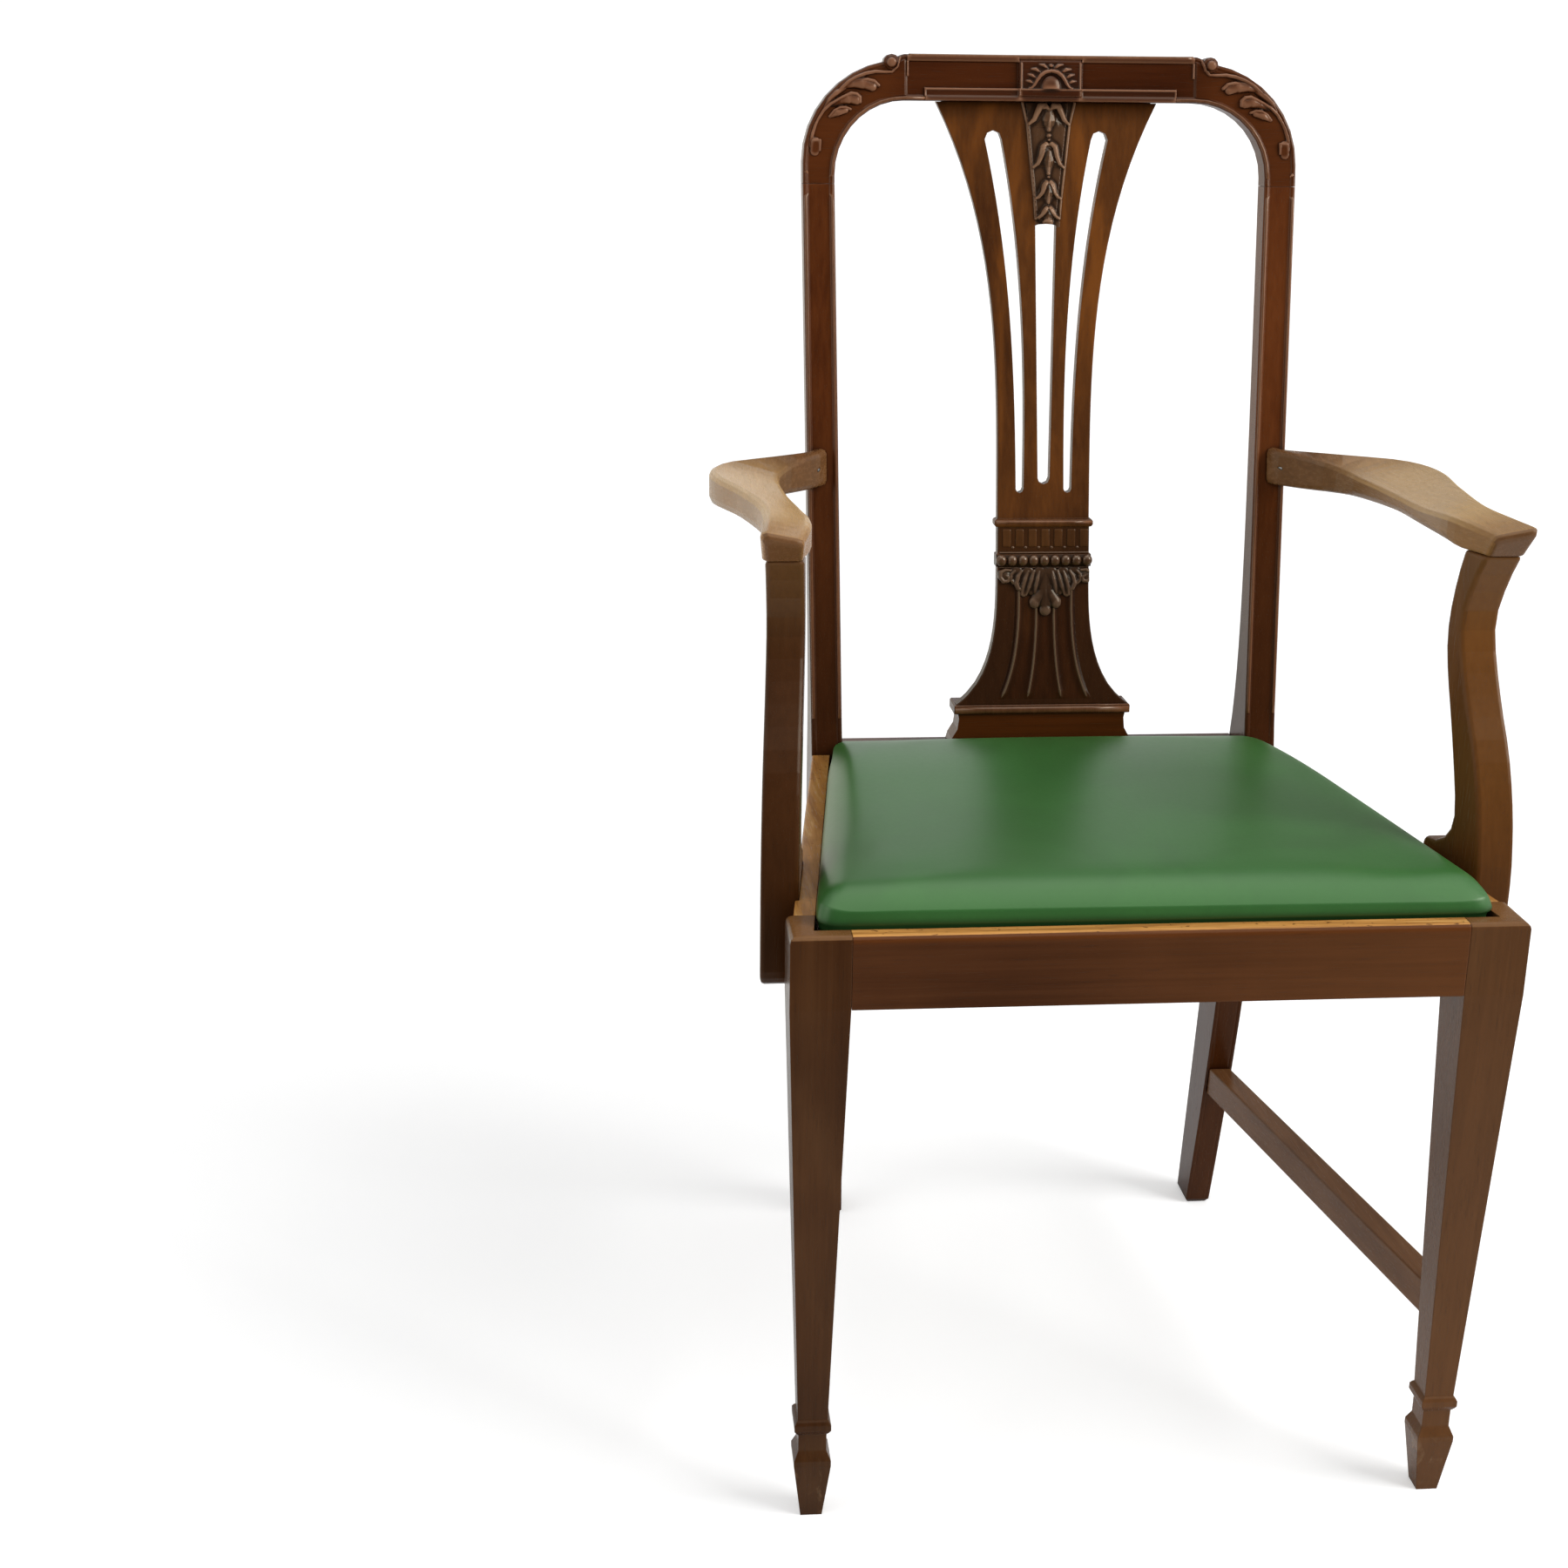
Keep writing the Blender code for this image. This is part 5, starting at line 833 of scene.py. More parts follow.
def stroke(x, z, points, widths, heights, sharp=2.0):
    """Height of a ridge along a line; widths and heights run from its start to its end."""
    best = np.full(x.shape, -1.0)
    points = np.array(points, dtype=float)
    spans = np.hypot(*np.diff(points, axis=0).T)
    along = np.concatenate([[0.0], np.cumsum(spans)]) / spans.sum()
    marks = np.linspace(0.0, 1.0, len(widths))
    for a, b, start, end in zip(points, points[1:], along, along[1:]):
        step = b - a
        t = ((x - a[0]) * step[0] + (z - a[1]) * step[1]) / (step @ step)
        t = np.clip(t, 0.0, 1.0)
        away = np.hypot(x - a[0] - t * step[0], z - a[1] - t * step[1])
        place = start + (end - start) * t
        width = np.interp(place, marks, widths)
        height = np.interp(place, np.linspace(0.0, 1.0, len(heights)), heights)
        bulge = 1.0 - (away / width) ** sharp
        best = np.maximum(best, np.where(bulge > 0.0, height * np.sqrt(np.maximum(bulge, 0.0)), -1.0))
    return best


def blob(x, z, centre, radii, height):
    """Height of a low dome over an ellipse."""
    away = ((x - centre[0]) / radii[0]) ** 2 + ((z - centre[1]) / radii[1]) ** 2
    return np.where(away < 1.0, height * np.sqrt(np.maximum(0.0, 1.0 - away)), -1.0)


def bar(x, z, low, high, proud, soft=0.5):
    """Height of a flat bar between two corners, with softened edges."""
    inside = np.minimum.reduce([x - low[0], high[0] - x, z - low[1], high[1] - z])
    return np.where(inside > 0.0, proud * np.minimum(1.0, np.maximum(inside, 0.0) / soft) ** 0.5, -1.0)


def both_sides(draw, x, z):
    return np.maximum(draw(x, z), draw(-x, z))


def softened(field, passes):
    """A field blurred by its neighbours."""
    for _ in range(passes):
        wide = np.pad(field, 1, mode="edge")
        around = wide[:-2, 1:-1] + wide[2:, 1:-1] + wide[1:-1, :-2] + wide[1:-1, 2:]
        field = (around + 4.0 * field) / 8.0
    return field


def front_of(*carriers):
    """A tree for ray casting over some solids together."""
    bm = bmesh.new()
    for carrier in carriers:
        bm.from_mesh(nodes[carrier].data)
    bmesh.ops.remove_doubles(bm, verts=bm.verts, dist=1e-6)
    face = BVHTree.FromBMesh(bm)
    bm.free()
    return face


def face_y(face, x, z, start_y=-1.0):
    """How deep the wood's front lies at a place in metres, or None where it is open."""
    hit = face.ray_cast(Vector((x, start_y, z)), Vector((0.0, 1.0, 0.0)))[0]
    return None if hit is None else hit.y


def carve(name, carrier, low, high, step, height, finish):
    """A closed skin in millimetres over the front of a solid, where height(x, z) is above it."""
    face = front_of(carrier)
    xs = np.arange(low[0], high[0] + step / 2, step)
    zs = np.arange(low[1], high[1] + step / 2, step)
    grid_x, grid_z = np.meshgrid(xs, zs)
    rise = np.maximum(height(grid_x, grid_z), -DIVE)
    solid = np.maximum(rise, 0.0)
    relief = np.clip((solid - softened(solid, int(RELIEF_BLUR / step ** 2))) / RELIEF_FULL, -1.0, 1.0)
    start_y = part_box(carrier)[0].y - 0.05      # a little in front of the wood
    depth = np.full(grid_x.shape, np.nan)
    wanted = softened((rise > 0.0).astype(float), 2) > 0.0
    for row, column in zip(*np.nonzero(wanted)):
        y = face_y(face, xs[column] / 1000.0, zs[row] / 1000.0, start_y)
        if y is not None:
            depth[row, column] = y
    alive = ~np.isnan(depth)
    cells = alive[:-1, :-1] & alive[1:, :-1] & alive[:-1, 1:] & alive[1:, 1:]
    corners = [depth[:-1, :-1], depth[1:, :-1], depth[:-1, 1:], depth[1:, 1:]]
    tall = np.maximum.reduce([rise[:-1, :-1], rise[1:, :-1], rise[:-1, 1:], rise[1:, 1:]])
    jump = np.maximum.reduce(corners) - np.minimum.reduce(corners)
    cells &= (tall > 0.0) & (np.nan_to_num(jump, nan=1.0) < CLIFF)
    mesh = skin_mesh(name, grid_x, grid_z, depth, rise, relief, cells)
    mesh.materials.append(finish)
    piece = bpy.data.objects.new(name, mesh)
    bpy.context.scene.collection.objects.link(piece)
    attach(piece, "frame")
    print(name, "faces:", len(mesh.polygons))
    return piece


def skin_mesh(name, grid_x, grid_z, depth, rise, relief, cells):
    """Front, back and rim of the carved cells as one closed mesh."""
    bm = bmesh.new()
    layer = bm.verts.layers.float.new("relief")
    front = {}
    back = {}

    def corner(row, column):
        key = (row, column)
        if key not in front:
            x = grid_x[row, column] / 1000.0
            z = grid_z[row, column] / 1000.0
            y = depth[row, column]
            front[key] = bm.verts.new((x, y - rise[row, column] / 1000.0, z))
            front[key][layer] = relief[row, column]
            back[key] = bm.verts.new((x, y + SKIN_BACK, z))
        return key

    rows, columns = cells.shape
    for row, column in zip(*np.nonzero(cells)):
        around = ((row, column), (row, column + 1), (row + 1, column + 1), (row + 1, column))
        keys = [corner(*place) for place in around]
        bm.faces.new([front[key] for key in keys]).smooth = True
        bm.faces.new([back[key] for key in reversed(keys)])
        beyond = ((row - 1, column), (row, column + 1), (row + 1, column), (row, column - 1))
        for side, (other_row, other_column) in enumerate(beyond):
            inside = 0 <= other_row < rows and 0 <= other_column < columns and cells[other_row, other_column]
            if not inside:
                a, b = keys[side], keys[(side + 1) % 4]
                bm.faces.new((front[b], front[a], back[a], back[b]))
    mesh = bpy.data.meshes.new(name)
    bm.to_mesh(mesh)
    bm.free()
    return mesh


# %% [markdown]
# Varnish stays in the hollows of carving and goes dark there, while hands and dusters rub the
# crests pale; the dark hollows are also painted shade, and the pale crests a painted highlight.
# The four carved finishes share this and differ in tone: the crest is red-brown, the panel on the
# splat has greyed, and the drum and its leaves are the darkest.

# %% Finishes of the carving
GREYED = ((0.042, 0.0170, 0.0070), (0.070, 0.0310, 0.0135), (0.105, 0.0500, 0.0240))
carved_mahogany = wood(
    "carved mahogany", "x", DEEP, crest_wear, RUBBED_AND_HIGHLIT_RED, rounding=0.0004, wax_and_shade=0.8, shine=0.30,
    carved=((0.018, 0.0050, 0.0018), (0.200, 0.086, 0.044)),
)
carved_panel = wood(
    "carved splat panel", "z", GREYED, None, RUBBED_AND_HIGHLIT_RED, rounding=0.0004, wax_and_shade=0.8, shine=0.30,
    carved=((0.018, 0.0070, 0.0030), (0.225, 0.118, 0.064)),
)
carved_drum = wood(
    "carved drum", "z", ((0.026, 0.0075, 0.0020), (0.044, 0.0125, 0.0032), (0.070, 0.0220, 0.0055)), None,
    ((0.150, 0.095, 0.055), 0.5), rounding=0.0004, wax_and_shade=0.8,
    carved=((0.014, 0.0042, 0.0014), (0.140, 0.086, 0.048)),
)
carved_leaves = wood(
    "carved leaves", "z", ((0.032, 0.0135, 0.0062), (0.048, 0.0215, 0.0100), (0.068, 0.0320, 0.0155)), None,
    ((0.120, 0.070, 0.042), 0.5), rounding=0.0004, wax_and_shade=0.85, shine=0.30,
    carved=((0.012, 0.0046, 0.0020), (0.118, 0.064, 0.037)),
)

# %% [markdown]
# A round bead is worked on both edges of the posts. It runs on under the arch of the crest, and
# others lie along the crest's top, the capital and the shoe. A bead is a curve with a round
# section, so it is swept: rays look for the wood's edge, the bead's line keeps a little inside
# it, and an ellipse follows that line. These beads catch the light that a flat face doesn't.

# %% Bead lines
BEAD_SIDES = 12             # faces round a bead


def edge_from(face, start, way):
    """The first point of wood from a start in the open, in the plane of the back."""

    def wooden(reach):
        return face_y(face, start[0] + way[0] * reach, start[1] + way[1] * reach) is not None

    high = 0.0
    while not wooden(high):
        high += 0.003
    low = max(0.0, high - 0.003)
    for _ in range(9):
        middle = (low + high) / 2.0
        low, high = (low, middle) if wooden(middle) else (middle, high)
    return start[0] + way[0] * high, start[1] + way[1] * high


def swept(name, path, across, proud, finish, slot="mahogany"):
    """A closed bead with an elliptical section along a path of points in front of the back."""
    bm = bmesh.new()
    rings = []
    for index, point in enumerate(path):
        onward = path[min(index + 1, len(path) - 1)] - path[max(index - 1, 0)]
        side = onward.normalized().cross(Vector((0.0, -1.0, 0.0))).normalized()
        out = side.cross(onward.normalized())
        ring = []
        for step in range(BEAD_SIDES):
            turn = math.tau * step / BEAD_SIDES
            ring.append(bm.verts.new(point + side * across * math.cos(turn) + out * proud * math.sin(turn)))
        rings.append(ring)
    for low, high in zip(rings, rings[1:]):
        for step in range(BEAD_SIDES):
            bm.faces.new((low[step], low[step - 1], high[step - 1], high[step])).smooth = True
    bm.faces.new(rings[0])
    bm.faces.new(list(reversed(rings[-1])))
    bmesh.ops.recalc_face_normals(bm, faces=bm.faces)
    mesh = bpy.data.meshes.new(name)
    bm.to_mesh(mesh)
    bm.free()
    mesh.materials.append(finish)
    piece = bpy.data.objects.new(name, mesh)
    bpy.context.scene.collection.objects.link(piece)
    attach(piece, "frame")
    print(name, "length:", round(sum((b - a).length for a, b in zip(path, path[1:])), 3))


def on_face(face, places, sunk=0.0):
    """The points of the wood's front at some (x, z) places."""
    return [Vector((x, face_y(face, x, z) + sunk, z)) for x, z in places]


def level_bead(name, face, half, z, sunk, section, slot="mahogany", count=5):
    """A straight bead across the back at one height."""
    places = [(x, z) for x in np.linspace(-half, half, count)]
    swept(name, on_face(face, places, sunk), *section, bead_wood, slot)


BEAD_INSET = 0.0021         # how far a bead lies inside the wood's edge
BEAD_FOOT = RAIL_TOP + 0.030
ARCH_RADIUS = 0.058
SHOE_HALF = 0.0752
bead_wood = wood(
    "rubbed beads", "z", ((0.090, 0.0310, 0.0120), (0.135, 0.0500, 0.0205), (0.190, 0.0780, 0.0340)),
    gloss=0.16, rounding=0.0003, wax_and_shade=0.6, shine=0.5,
)
back = front_of("crest_rail", "back_post_left", "back_post_right")
arch_side = edge_from(back, (0.110, 0.900), (1.0, 0.0))[0]
arch_roof = edge_from(back, (0.112, 0.900), (0.0, 1.0))[1]
arch_centre = (arch_side - ARCH_RADIUS, arch_roof - ARCH_RADIUS)
print("arch centre:", arch_centre)

inner = []
for z in np.arange(BEAD_FOOT, arch_centre[1], 0.010):
    x, _ = edge_from(back, (0.120, float(z)), (1.0, 0.0))
    inner.append((x + BEAD_INSET, float(z)))
for degrees in range(0, 91, 5):
    way = (math.cos(math.radians(degrees)), math.sin(math.radians(degrees)))
    x, z = edge_from(back, arch_centre, way)
    inner.append((x + way[0] * BEAD_INSET, z + way[1] * BEAD_INSET))
inner.append((0.0985, inner[-1][1]))
outer = []
for z in np.arange(BEAD_FOOT, 0.934, 0.010):
    x, _ = edge_from(back, (0.240, float(z)), (-1.0, 0.0))
    outer.append((x - BEAD_INSET, float(z)))
for side, name in ((-1, "left"), (1, "right")):
    for line, places in (("inner", inner), ("outer", outer)):
        path = on_face(back, [(side * x, z) for x, z in places], 0.0002)
        swept("bead_" + line + "_" + name, path, 0.0013, 0.0010, bead_wood)
crest_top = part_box("crest_rail")[1].z
level_bead("bead_crest_top", back, 0.1175, crest_top - 0.0016, 0.0004, (0.0020, 0.0016), count=41)
shoe = front_of("splat_shoe")
level_bead("bead_shoe_lip", shoe, SHOE_HALF, SHOE_HIGH.z - 0.0007, 0.0003, (0.0006, 0.0008))
level_bead("bead_shoe", shoe, SHOE_HALF, SHOE_HIGH.z - 0.0044, 0.0004, (0.0030, 0.0022))
splat = front_of("splat")
level_bead("bead_capital", splat, 0.0410, 0.6424, 0.0004, (0.0013, 0.0013), "splat_wood")

# %% [markdown]
# Each shoulder of the back carries a sprig of leaf that springs from the scroll: a rib runs
# along the outer edge, three lobes fall from it and curl at their tips, and a cut leaf end lies
# lower down. The left one is drawn, and the right one is the same drawing mirrored.

# %% Leaves on the shoulders
def shoulder_leaf(x, z):
    """The left sprig, in millimetres."""
    rim = stroke(
        x, z,
        [(-124.6, 1013.2), (-125.6, 1010.0), (-127.1, 1005.7), (-131.3, 1002.2), (-137.0, 1002.0),
         (-145.0, 1002.2), (-152.6, 1000.6), (-160.4, 997.6), (-167.0, 994.0), (-173.0, 989.0),
         (-179.0, 983.0)],
        (0.9, 1.1, 1.6, 1.9, 1.8, 1.3), (1.2, 1.6, 2.2, 2.6, 2.2, 1.2),
    )
    eye = blob(x, z, (-132.0, 1009.4), (4.4, 4.2), 2.2)
    lobe_1 = np.maximum(
        stroke(x, z, [(-172.0, 989.6), (-162.6, 992.4), (-154.0, 993.0), (-147.6, 990.8)],
               (1.4, 3.2, 4.8, 4.2), (0.9, 2.6, 3.9, 3.2)),
        stroke(x, z, [(-170.0, 992.0), (-159.3, 995.4), (-151.9, 996.0), (-146.1, 994.9), (-142.4, 991.6)],
               (0.9, 1.5, 1.8, 1.5), (1.3, 2.6, 3.7, 2.6)),
    )
    strip = stroke(x, z, [(-187.0, 973.6), (-182.4, 980.4), (-177.0, 985.2), (-170.4, 989.0)],
                   (1.0, 2.1, 2.6, 1.9), (0.9, 1.9, 2.3, 1.5))
    lobe_2 = np.maximum(
        stroke(x, z, [(-180.0, 975.6), (-172.4, 979.2), (-165.8, 981.2), (-160.6, 980.4)],
               (1.2, 3.0, 4.4, 4.4), (0.9, 2.6, 3.9, 3.4)),
        stroke(x, z, [(-192.4, 964.2), (-187.6, 971.6), (-182.0, 976.8), (-175.8, 980.4), (-170.2, 983.0),
                      (-165.1, 985.2), (-160.6, 984.8), (-157.8, 982.2), (-157.8, 978.6)],
               (1.2, 1.4, 1.6, 1.9, 1.7), (1.4, 2.1, 2.8, 3.8, 3.0)),
    )
    lobe_3 = np.maximum(
        stroke(x, z, [(-182.0, 966.8), (-176.0, 970.4), (-169.6, 972.2)], (1.2, 3.2, 2.8), (0.9, 3.0, 2.6)),
        stroke(x, z, [(-183.0, 967.2), (-178.8, 971.8), (-174.1, 974.2), (-169.4, 974.6), (-165.6, 973.0)],
               (0.9, 1.4, 1.6, 1.3), (1.2, 2.4, 3.0, 2.2)),
    )
    stem = stroke(x, z, [(-191.6, 965.6), (-194.4, 960.0), (-196.4, 954.0), (-197.4, 948.6), (-197.6, 944.0)],
                  (1.1, 1.4, 1.7, 1.8), (1.4, 1.7, 1.6, 1.2))
    tip = np.maximum(
        stroke(x, z, [(-194.0, 947.0), (-194.8, 940.2)], (4.2, 3.8), (2.0, 1.2), sharp=8.0),
        stroke(x, z, [(-196.6, 948.4), (-190.4, 948.8), (-190.6, 941.0)], (1.1, 1.2, 1.0), (2.5, 2.8, 1.8)),
    )
    return np.maximum.reduce([rim, eye, lobe_1, strip, lobe_2, lobe_3, stem, tip])


carve("crest_leaf_left", "crest_rail", (-202.0, 934.0), (-122.0, 1016.0), 0.5, shoulder_leaf, carved_mahogany)
carve("crest_leaf_right", "crest_rail", (122.0, 934.0), (202.0, 1016.0), 0.5,
      lambda x, z: shoulder_leaf(-x, z), carved_mahogany)

# %% [markdown]
# The crest is flat between the shoulders. A raised band runs under its two sunk panels, a thin
# line closes each panel's outer end, and between the panels a square tablet holds half a flower:
# a ball under an arch with short leaves round it.

# %% Band, panels and tablet
BAND_HALF = 104.0
BAND_TOP = 990.2
PANEL_END = 118.3
PANEL_TOP = 1010.4
TABLET_HALF = 25.4


def crest_band(x, z):
    """A raised band with a lip, and the thin borders of the two panels."""

    def half(x, z):
        reach = (TABLET_HALF - 1.0, BAND_HALF)
        band = bar(x, z, (reach[0], 980.0), (reach[1], BAND_TOP), 1.3)
        lip = bar(x, z, (reach[0], BAND_TOP - 2.0), (reach[1], BAND_TOP + 0.4), 2.3, 0.8)
        stop = bar(x, z, (BAND_HALF - 1.2, 983.6), (BAND_HALF + 0.6, BAND_TOP + 0.4), 2.2, 0.7)
        end = bar(x, z, (PANEL_END - 0.9, 998.8), (PANEL_END + 0.9, 1010.8), 1.6, 0.7)
        edge = bar(x, z, (TABLET_HALF + 0.2, PANEL_TOP), (PANEL_END + 0.9, 1015.8), 1.2, 0.8)
        return np.maximum.reduce([band, lip, stop, end, edge])

    return both_sides(half, x, z)


ARCH = (
    (17.8, 990.4), (15.4, 991.4), (13.4, 993.6), (11.6, 996.8), (9.0, 1000.4), (5.2, 1003.2), (0.0, 1004.2),
)


def crest_tablet(x, z):
    """Half a flower: a ball under an arch with curled feet, and short leaves round it."""
    plate = bar(x, z, (-TABLET_HALF, BAND_TOP - 1.6), (TABLET_HALF, 1015.0), 0.5, 0.6)

    def half(x, z):
        arch = stroke(x, z, ARCH, (1.0, 1.5, 1.9, 1.7), (1.6, 2.9, 3.6, 3.4))
        border = bar(x, z, (TABLET_HALF - 2.0, BAND_TOP - 1.4), (TABLET_HALF, 1010.6), 1.3, 0.6)
        leaves = [
            stroke(x, z, [(3.0, 1005.8), (6.0, 1008.4), (9.4, 1009.0)], (1.5, 1.5, 0.9), (1.7, 2.1, 1.2)),
            stroke(x, z, [(9.6, 1003.4), (12.6, 1005.2), (16.0, 1005.4)], (1.5, 1.6, 1.0), (1.7, 2.2, 1.2)),
            stroke(x, z, [(12.8, 998.8), (15.6, 1000.6), (18.8, 1001.2)], (1.4, 1.5, 0.9), (1.6, 2.0, 1.1)),
            stroke(x, z, [(15.0, 994.6), (17.4, 996.0), (20.4, 996.2)], (1.3, 1.4, 0.9), (1.5, 1.9, 1.0)),
        ]
        return np.maximum.reduce([arch, border] + leaves)

    ball = blob(x, z, (0.0, 991.6), (8.4, 9.8), 3.4)
    ball = np.where(z > BAND_TOP, ball, -1.0)
    top_leaf = blob(x, z, (0.0, 1008.0), (2.2, 1.8), 1.8)
    sill = bar(x, z, (-TABLET_HALF, BAND_TOP - 1.6), (TABLET_HALF, BAND_TOP + 0.2), 1.9, 0.7)
    lower = bar(x, z, (-TABLET_HALF, 980.0), (TABLET_HALF, BAND_TOP - 1.0), 1.2, 0.6)
    return np.maximum.reduce([plate, ball, top_leaf, sill, lower, both_sides(half, x, z)])


carve("crest_band", "crest_rail", (-121.0, 979.0), (121.0, 1016.4), 0.5, crest_band, carved_mahogany)
carve("crest_tablet", "crest_rail", (-27.0, 979.4), (27.0, 1016.0), 0.35, crest_tablet, carved_mahogany)

# %% [markdown]
# Down the middle of the splat hangs a drop of four bell flowers, each smaller than the one above,
# between two raised borders. Each flower is a hood with two petals that spread to the borders, a
# bud between them, and a bead below from which the next one hangs.

# %% The drop of bell flowers
DROP_MIDDLE = 1.4
DROP_BORDER = ((22.6, 982.6), (17.6, 962.0), (13.9, 927.0), (11.2, 903.0), (10.2, 887.6))
FLOWERS = (
    # half a flower's rim from the dip in its top to the tip, in millimetres
    ((0.6, 974.6), (3.4, 977.0), (7.6, 976.6), (9.8, 972.4), (12.6, 966.4), (17.0, 962.4)),
    ((0.2, 946.0), (2.4, 946.8), (4.9, 944.6), (6.6, 937.6), (9.2, 931.6), (12.9, 928.4)),
    ((0.2, 916.2), (1.9, 916.6), (3.7, 914.2), (5.2, 908.8), (7.9, 905.2), (10.7, 903.7)),
    ((0.2, 896.0), (1.7, 896.2), (3.6, 893.6), (5.6, 890.6), (8.0, 888.7), (9.9, 887.8)),
)
DROP_BEADS = (
    (982.2, 2.7), (953.6, 1.8), (950.2, 1.2), (923.6, 1.6), (920.8, 1.1), (901.4, 1.2), (885.0, 5.0),
)


def flower_size(rim):
    return 0.42 + 0.58 * rim[-1][0] / FLOWERS[0][-1][0]


def flower_drop(x, z):
    """The borders, the four flowers and the beads that they hang from."""
    x = x - DROP_MIDDLE
    edge = np.array(DROP_BORDER)
    half = np.interp(z, edge[::-1, 1], edge[::-1, 0])
    ground = np.where((np.abs(x) < half) & (z > 881.0), 0.25, -1.0)

    def right(x, z):
        parts = [stroke(x, z, DROP_BORDER, (1.4, 1.3, 1.1), (1.4, 1.2, 1.0))]
        for rim in FLOWERS:
            size = flower_size(rim)
            widths = tuple(size * width for width in (2.4, 3.1, 3.0, 2.5, 2.1, 1.3))
            parts.append(stroke(x, z, rim, widths, tuple(size * h for h in (2.6, 4.2, 4.2, 3.4, 2.8, 2.0))))
        return np.maximum.reduce(parts)

    parts = [ground, both_sides(right, x, z)]
    for rim in FLOWERS:
        size = flower_size(rim)
        top, tip = rim[1][1], rim[-1][1]
        body = [(0.0, top - 4.0 * size), (0.0, tip + 1.5 * size), (0.0, tip - 4.0 * size)]
        parts.append(stroke(x, z, body, (4.4 * size, 5.6 * size, 2.2 * size), (1.7, 2.1, 1.7)))
        crease = [(0.0, top - 7.0 * size), (0.0, tip + 1.0 * size), (0.0, tip - 4.6 * size)]
        parts.append(stroke(x, z, crease, (0.9 * size, 1.6 * size, 1.0 * size), (1.9, 3.0, 2.2)))
    for height, radius in DROP_BEADS:
        parts.append(blob(x, z, (0.0, height), (radius, radius * 0.9), min(3.2, 1.2 + radius)))
    return np.maximum.reduce(parts)


carve("splat_drop", "splat", (-24.5, 880.0), (27.0, 984.6), 0.4, flower_drop, carved_panel)

# %% [markdown]
# The foot of the splat is a fluted drum under a capital. Thin ridges stand between its flutes,
# and a valance of leaves hangs over their tops, with the longest leaf in the middle.

# %% Drum and leaves
DRUM_MIDDLE = 1.6
DRUM_TOP, DRUM_FOOT = 594.0, 494.0
DRUM_RIDGES = ((7.4, 15.2), (22.4, 38.2))     # from the middle, at the top and at the foot
RIDGE_SPREAD = 3.2                            # how late the ridges spread
RIDGE_HALF = 0.8
DRUM_SHOULDER = 3.4                           # what lies outside the outer ridges
FLUTE_FOOT = 495.4
VALANCE_TOP = 604.0


def drum_flutes(x, z):
    """Four ridges with a hollow flute on each side, as on a column that spreads at its foot."""
    x = np.abs(x - DRUM_MIDDLE)
    fall = np.clip((DRUM_TOP - z) / (DRUM_TOP - DRUM_FOOT), 0.0, 1.0) ** RIDGE_SPREAD
    inner, outer = [top + (foot - top) * fall for top, foot in DRUM_RIDGES]
    middle = (inner + outer) / 2.0
    centre_flute = (x / inner) ** 2
    side_flute = ((x - middle) / (outer - middle)) ** 2
    outside = 1.0 - (x - outer) / DRUM_SHOULDER
    hollow = np.where(x < inner, centre_flute, np.where(x < outer, side_flute, outside))
    height = 0.10 + 1.55 * np.clip(hollow, 0.0, 1.0) ** 1.8
    ridge = np.maximum(1.0 - np.abs(x - inner) / RIDGE_HALF, 1.0 - np.abs(x - outer) / RIDGE_HALF)
    height = height + 0.70 * np.clip(ridge, 0.0, 1.0) ** 0.5
    ends = np.clip((z - FLUTE_FOOT) / 6.0, 0.0, 1.0)
    inside = (x < outer + DRUM_SHOULDER) & (z < DRUM_TOP + 9.0) & (z > FLUTE_FOOT)
    return np.where(inside, height * ends, -1.0)


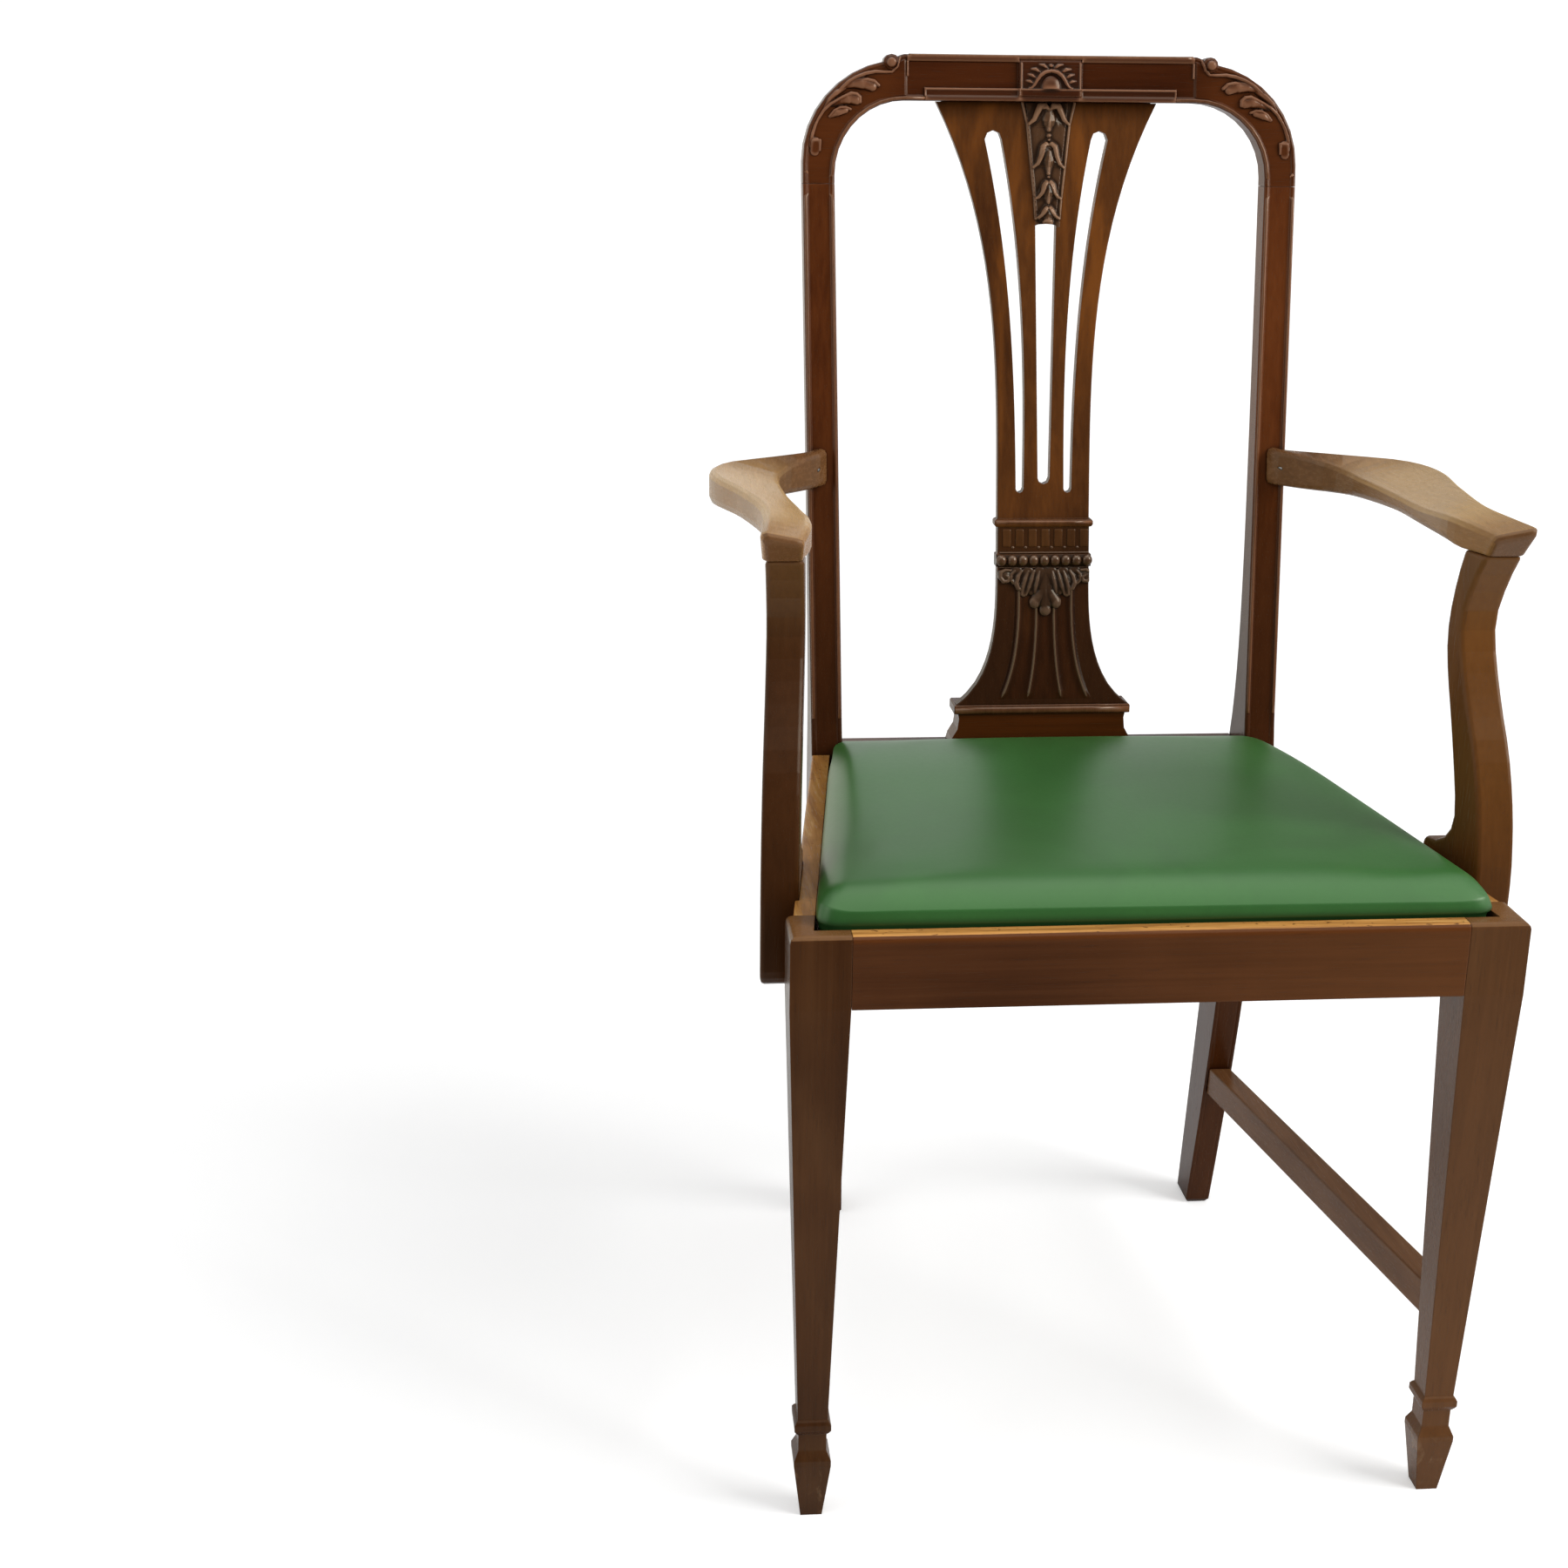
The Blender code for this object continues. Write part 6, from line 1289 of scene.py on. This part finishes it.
def valance(x, z):
    """Acanthus that hangs over the drum: a scroll at each end, curled fronds, a long middle leaf."""
    x = x - DRUM_MIDDLE
    band = bar(x, z, (-38.6, 598.4), (38.2, VALANCE_TOP), 2.0, 2.2)

    def half(x, z):
        mass = [
            stroke(x, z, [(5.0, 601.0), (8.0, 594.0), (11.0, 586.0)],
                   (6.0, 6.0, 4.6), (2.6, 3.0, 2.2), 4.0),
            stroke(x, z, [(15.0, 601.0), (17.0, 594.0), (18.4, 584.0)],
                   (6.0, 6.0, 3.6), (2.6, 3.0, 2.0), 4.0),
            stroke(x, z, [(25.0, 601.0), (26.4, 595.0)], (6.6, 4.6), (2.6, 2.4), 4.0),
        ]
        fronds = [
            stroke(x, z, [(26.4, 602.6), (29.6, 599.6), (29.8, 595.4), (27.0, 592.6)],
                   (1.9, 2.5, 2.2), (3.0, 3.8, 3.0)),
            stroke(x, z, [(20.6, 602.4), (23.6, 598.0), (25.0, 592.6), (23.2, 588.2), (21.2, 587.4)],
                   (2.0, 2.8, 2.8, 2.2), (3.0, 4.1, 4.2, 3.2)),
            stroke(x, z, [(15.0, 602.2), (17.4, 596.0), (19.4, 589.6), (20.2, 583.0)],
                   (2.0, 2.7, 2.7, 1.8), (3.0, 4.1, 3.8, 2.4)),
            stroke(x, z, [(10.2, 602.2), (12.0, 596.0), (14.2, 589.4), (16.4, 583.0)],
                   (2.0, 2.6, 2.6, 1.6), (3.0, 4.1, 3.7, 2.2)),
            stroke(x, z, [(5.6, 602.0), (7.0, 596.0), (8.4, 590.0), (9.0, 584.4)],
                   (1.8, 2.4, 2.5, 2.0), (3.0, 4.2, 3.9, 2.9)),
        ]
        scroll = [
            blob(x, z, (34.4, 598.2), (5.8, 5.6), 3.6),
            stroke(x, z, [(30.4, 603.0), (34.4, 603.4), (38.2, 601.4), (38.6, 597.4), (36.0, 594.0),
                          (32.4, 594.4), (31.6, 597.4), (34.0, 598.8)], (1.9, 2.2, 2.0), (3.4, 4.2, 3.9)),
        ]
        knob = [
            stroke(x, z, [(3.0, 586.0), (5.6, 581.4), (8.4, 577.4)], (4.4, 5.2, 5.4), (3.2, 3.9, 4.2)),
            blob(x, z, (8.7, 576.6), (5.4, 5.8), 4.4),
        ]
        return np.maximum.reduce(mass + fronds + scroll + knob)

    heart = stroke(x, z, [(0.0, 600.0), (0.0, 588.0), (0.0, 576.0)], (7.4, 8.6, 6.4), (2.4, 3.1, 3.6), 3.0)
    rib = stroke(x, z, [(0.0, 599.0), (0.0, 586.0), (0.0, 573.0)], (1.4, 2.2, 2.4), (2.6, 3.5, 3.8))
    tongue = blob(x, z, (0.0, 570.8), (5.6, 6.2), 4.1)
    return np.maximum.reduce([band, both_sides(half, x, z), heart, rib, tongue])


def fillets(x, z):
    """Thin lines above and below the row of beads."""
    x = x - DRUM_MIDDLE + 1.0
    above = bar(x, z, (-38.4, 616.6), (38.4, 618.0), 1.3, 0.6)
    below = bar(x, z, (-38.4, 604.6), (38.4, 605.5), 1.6, 0.4)
    return np.maximum(above, below)


carve("drum_flutes", "splat", (-46.0, 494.0), (48.0, 600.0), 0.5, drum_flutes, carved_drum)
carve("capital_leaves", "splat", (-39.5, 562.0), (42.0, 605.0), 0.4, valance, carved_leaves)
carve("capital_fillets", "splat", (-39.5, 603.6), (40.5, 619.2), 0.4, fillets, carved_leaves)

# %% [markdown]
# The capital repeats itself: nine beads in a row, and seven flat ribs above them with flutes
# between. Geometry Nodes make both. One tree sets a shape at each point of a line; its inputs
# are the two ends, the count and the size. The instances are realized and given their finish.

# %% Rows of beads and ribs
def row_tree(name, shape, finish):
    """A node tree that repeats a bead or a rib along a straight line."""
    tree = bpy.data.node_groups.new(name, "GeometryNodeTree")
    tree.interface.new_socket("Geometry", in_out="OUTPUT", socket_type="NodeSocketGeometry")
    sockets = {"Start": "Vector", "End": "Vector", "Size": "Vector", "Turn": "Float", "Count": "Int"}
    for label, kind in sockets.items():
        tree.interface.new_socket(label, in_out="INPUT", socket_type="NodeSocket" + kind)
    put = tree.nodes.new
    link = tree.links.new
    entry = put("NodeGroupInput")
    line = put("GeometryNodeMeshLine")
    line.mode = "END_POINTS"
    link(entry.outputs["Count"], line.inputs["Count"])
    link(entry.outputs["Start"], line.inputs["Start Location"])
    link(entry.outputs["End"], line.inputs["Offset"])
    if shape == "bead":
        body = put("GeometryNodeMeshUVSphere")
        body.inputs["Segments"].default_value = 20
        body.inputs["Rings"].default_value = 12
        body.inputs["Radius"].default_value = 1.0
        solid = body.outputs["Mesh"]
    else:
        body = put("GeometryNodeMeshCube")
        body.inputs["Size"].default_value = (2.0, 2.0, 2.0)
        for key in ("Vertices X", "Vertices Y", "Vertices Z"):
            body.inputs[key].default_value = 3
        soften = put("GeometryNodeSubdivisionSurface")
        soften.inputs["Level"].default_value = 2
        soften.inputs["Edge Crease"].default_value = 0.55
        link(body.outputs["Mesh"], soften.inputs["Mesh"])
        solid = soften.outputs["Mesh"]
    turn = put("ShaderNodeCombineXYZ")
    link(entry.outputs["Turn"], turn.inputs["X"])
    place = put("GeometryNodeInstanceOnPoints")
    link(line.outputs["Mesh"], place.inputs["Points"])
    link(solid, place.inputs["Instance"])
    link(entry.outputs["Size"], place.inputs["Scale"])
    link(turn.outputs[0], place.inputs["Rotation"])
    real = put("GeometryNodeRealizeInstances")
    dress = put("GeometryNodeSetMaterial")
    dress.inputs["Material"].default_value = finish
    leave = put("NodeGroupOutput")
    link(place.outputs["Instances"], real.inputs["Geometry"])
    link(real.outputs["Geometry"], dress.inputs["Geometry"])
    link(dress.outputs["Geometry"], leave.inputs["Geometry"])
    return tree


def row_of(name, tree, ends, height, sunk, size, count):
    """Run a row tree on an empty mesh and keep the result as a plain mesh.

    ends are the row's first and last x; sunk is how deep its middles lie under the splat's face.
    """
    seed = bpy.data.objects.new(name + "_seed", bpy.data.meshes.new(name + "_seed"))
    bpy.context.scene.collection.objects.link(seed)
    maker = seed.modifiers.new("row", "NODES")
    maker.node_group = tree
    y = face_y(splat, 0.0, height) + sunk
    values = {
        "Start": (ends[0], y, height), "End": (ends[1], y, height), "Size": size,
        "Turn": -math.atan(SPLAT_RAKE), "Count": count,
    }
    for item in tree.interface.items_tree:
        if item.item_type == "SOCKET" and item.in_out == "INPUT":
            maker[item.identifier] = values[item.name]
    made = seed.evaluated_get(bpy.context.evaluated_depsgraph_get())
    mesh = bpy.data.meshes.new_from_object(made)
    seed.modifiers.clear()
    bpy.data.objects.remove(seed)
    mesh.name = name
    mesh.shade_smooth()
    piece = bpy.data.objects.new(name, mesh)
    bpy.context.scene.collection.objects.link(piece)
    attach(piece, "frame")
    print(name, "points:", len(mesh.vertices))


SPLAT_RAKE = 0.195          # how far the splat leans back for each unit of height
pearl_wood = wood(
    "pearl row", "z", ((0.046, 0.0185, 0.0075), (0.075, 0.0310, 0.0130), (0.110, 0.0490, 0.0215)),
    gloss=0.16, rim=RUBBED_AND_HIGHLIT_RED, rounding=0.0003, wax_and_shade=0.8, shine=0.6,
)
rib_wood = wood(
    "ribs of the frieze", "z", ((0.042, 0.0150, 0.0042), (0.066, 0.0240, 0.0066), (0.098, 0.0370, 0.0105)),
    rounding=0.0003,
)
bead_row = row_tree("bead row", "bead", pearl_wood)
rib_row = row_tree("rib row", "rib", rib_wood)
row_of("capital_beads", bead_row, (-0.0362, 0.0370), 0.6111, 0.0006, (0.00455, 0.0043, 0.0049), 9)
row_of("capital_dots", bead_row, (-0.0262, 0.0290), 0.6213, 0.0003, (0.0014, 0.0012, 0.0014), 6)
row_of("capital_ribs", rib_row, (-0.0314, 0.0346), 0.6292, 0.0005, (0.0035, 0.0010, 0.0074), 7)
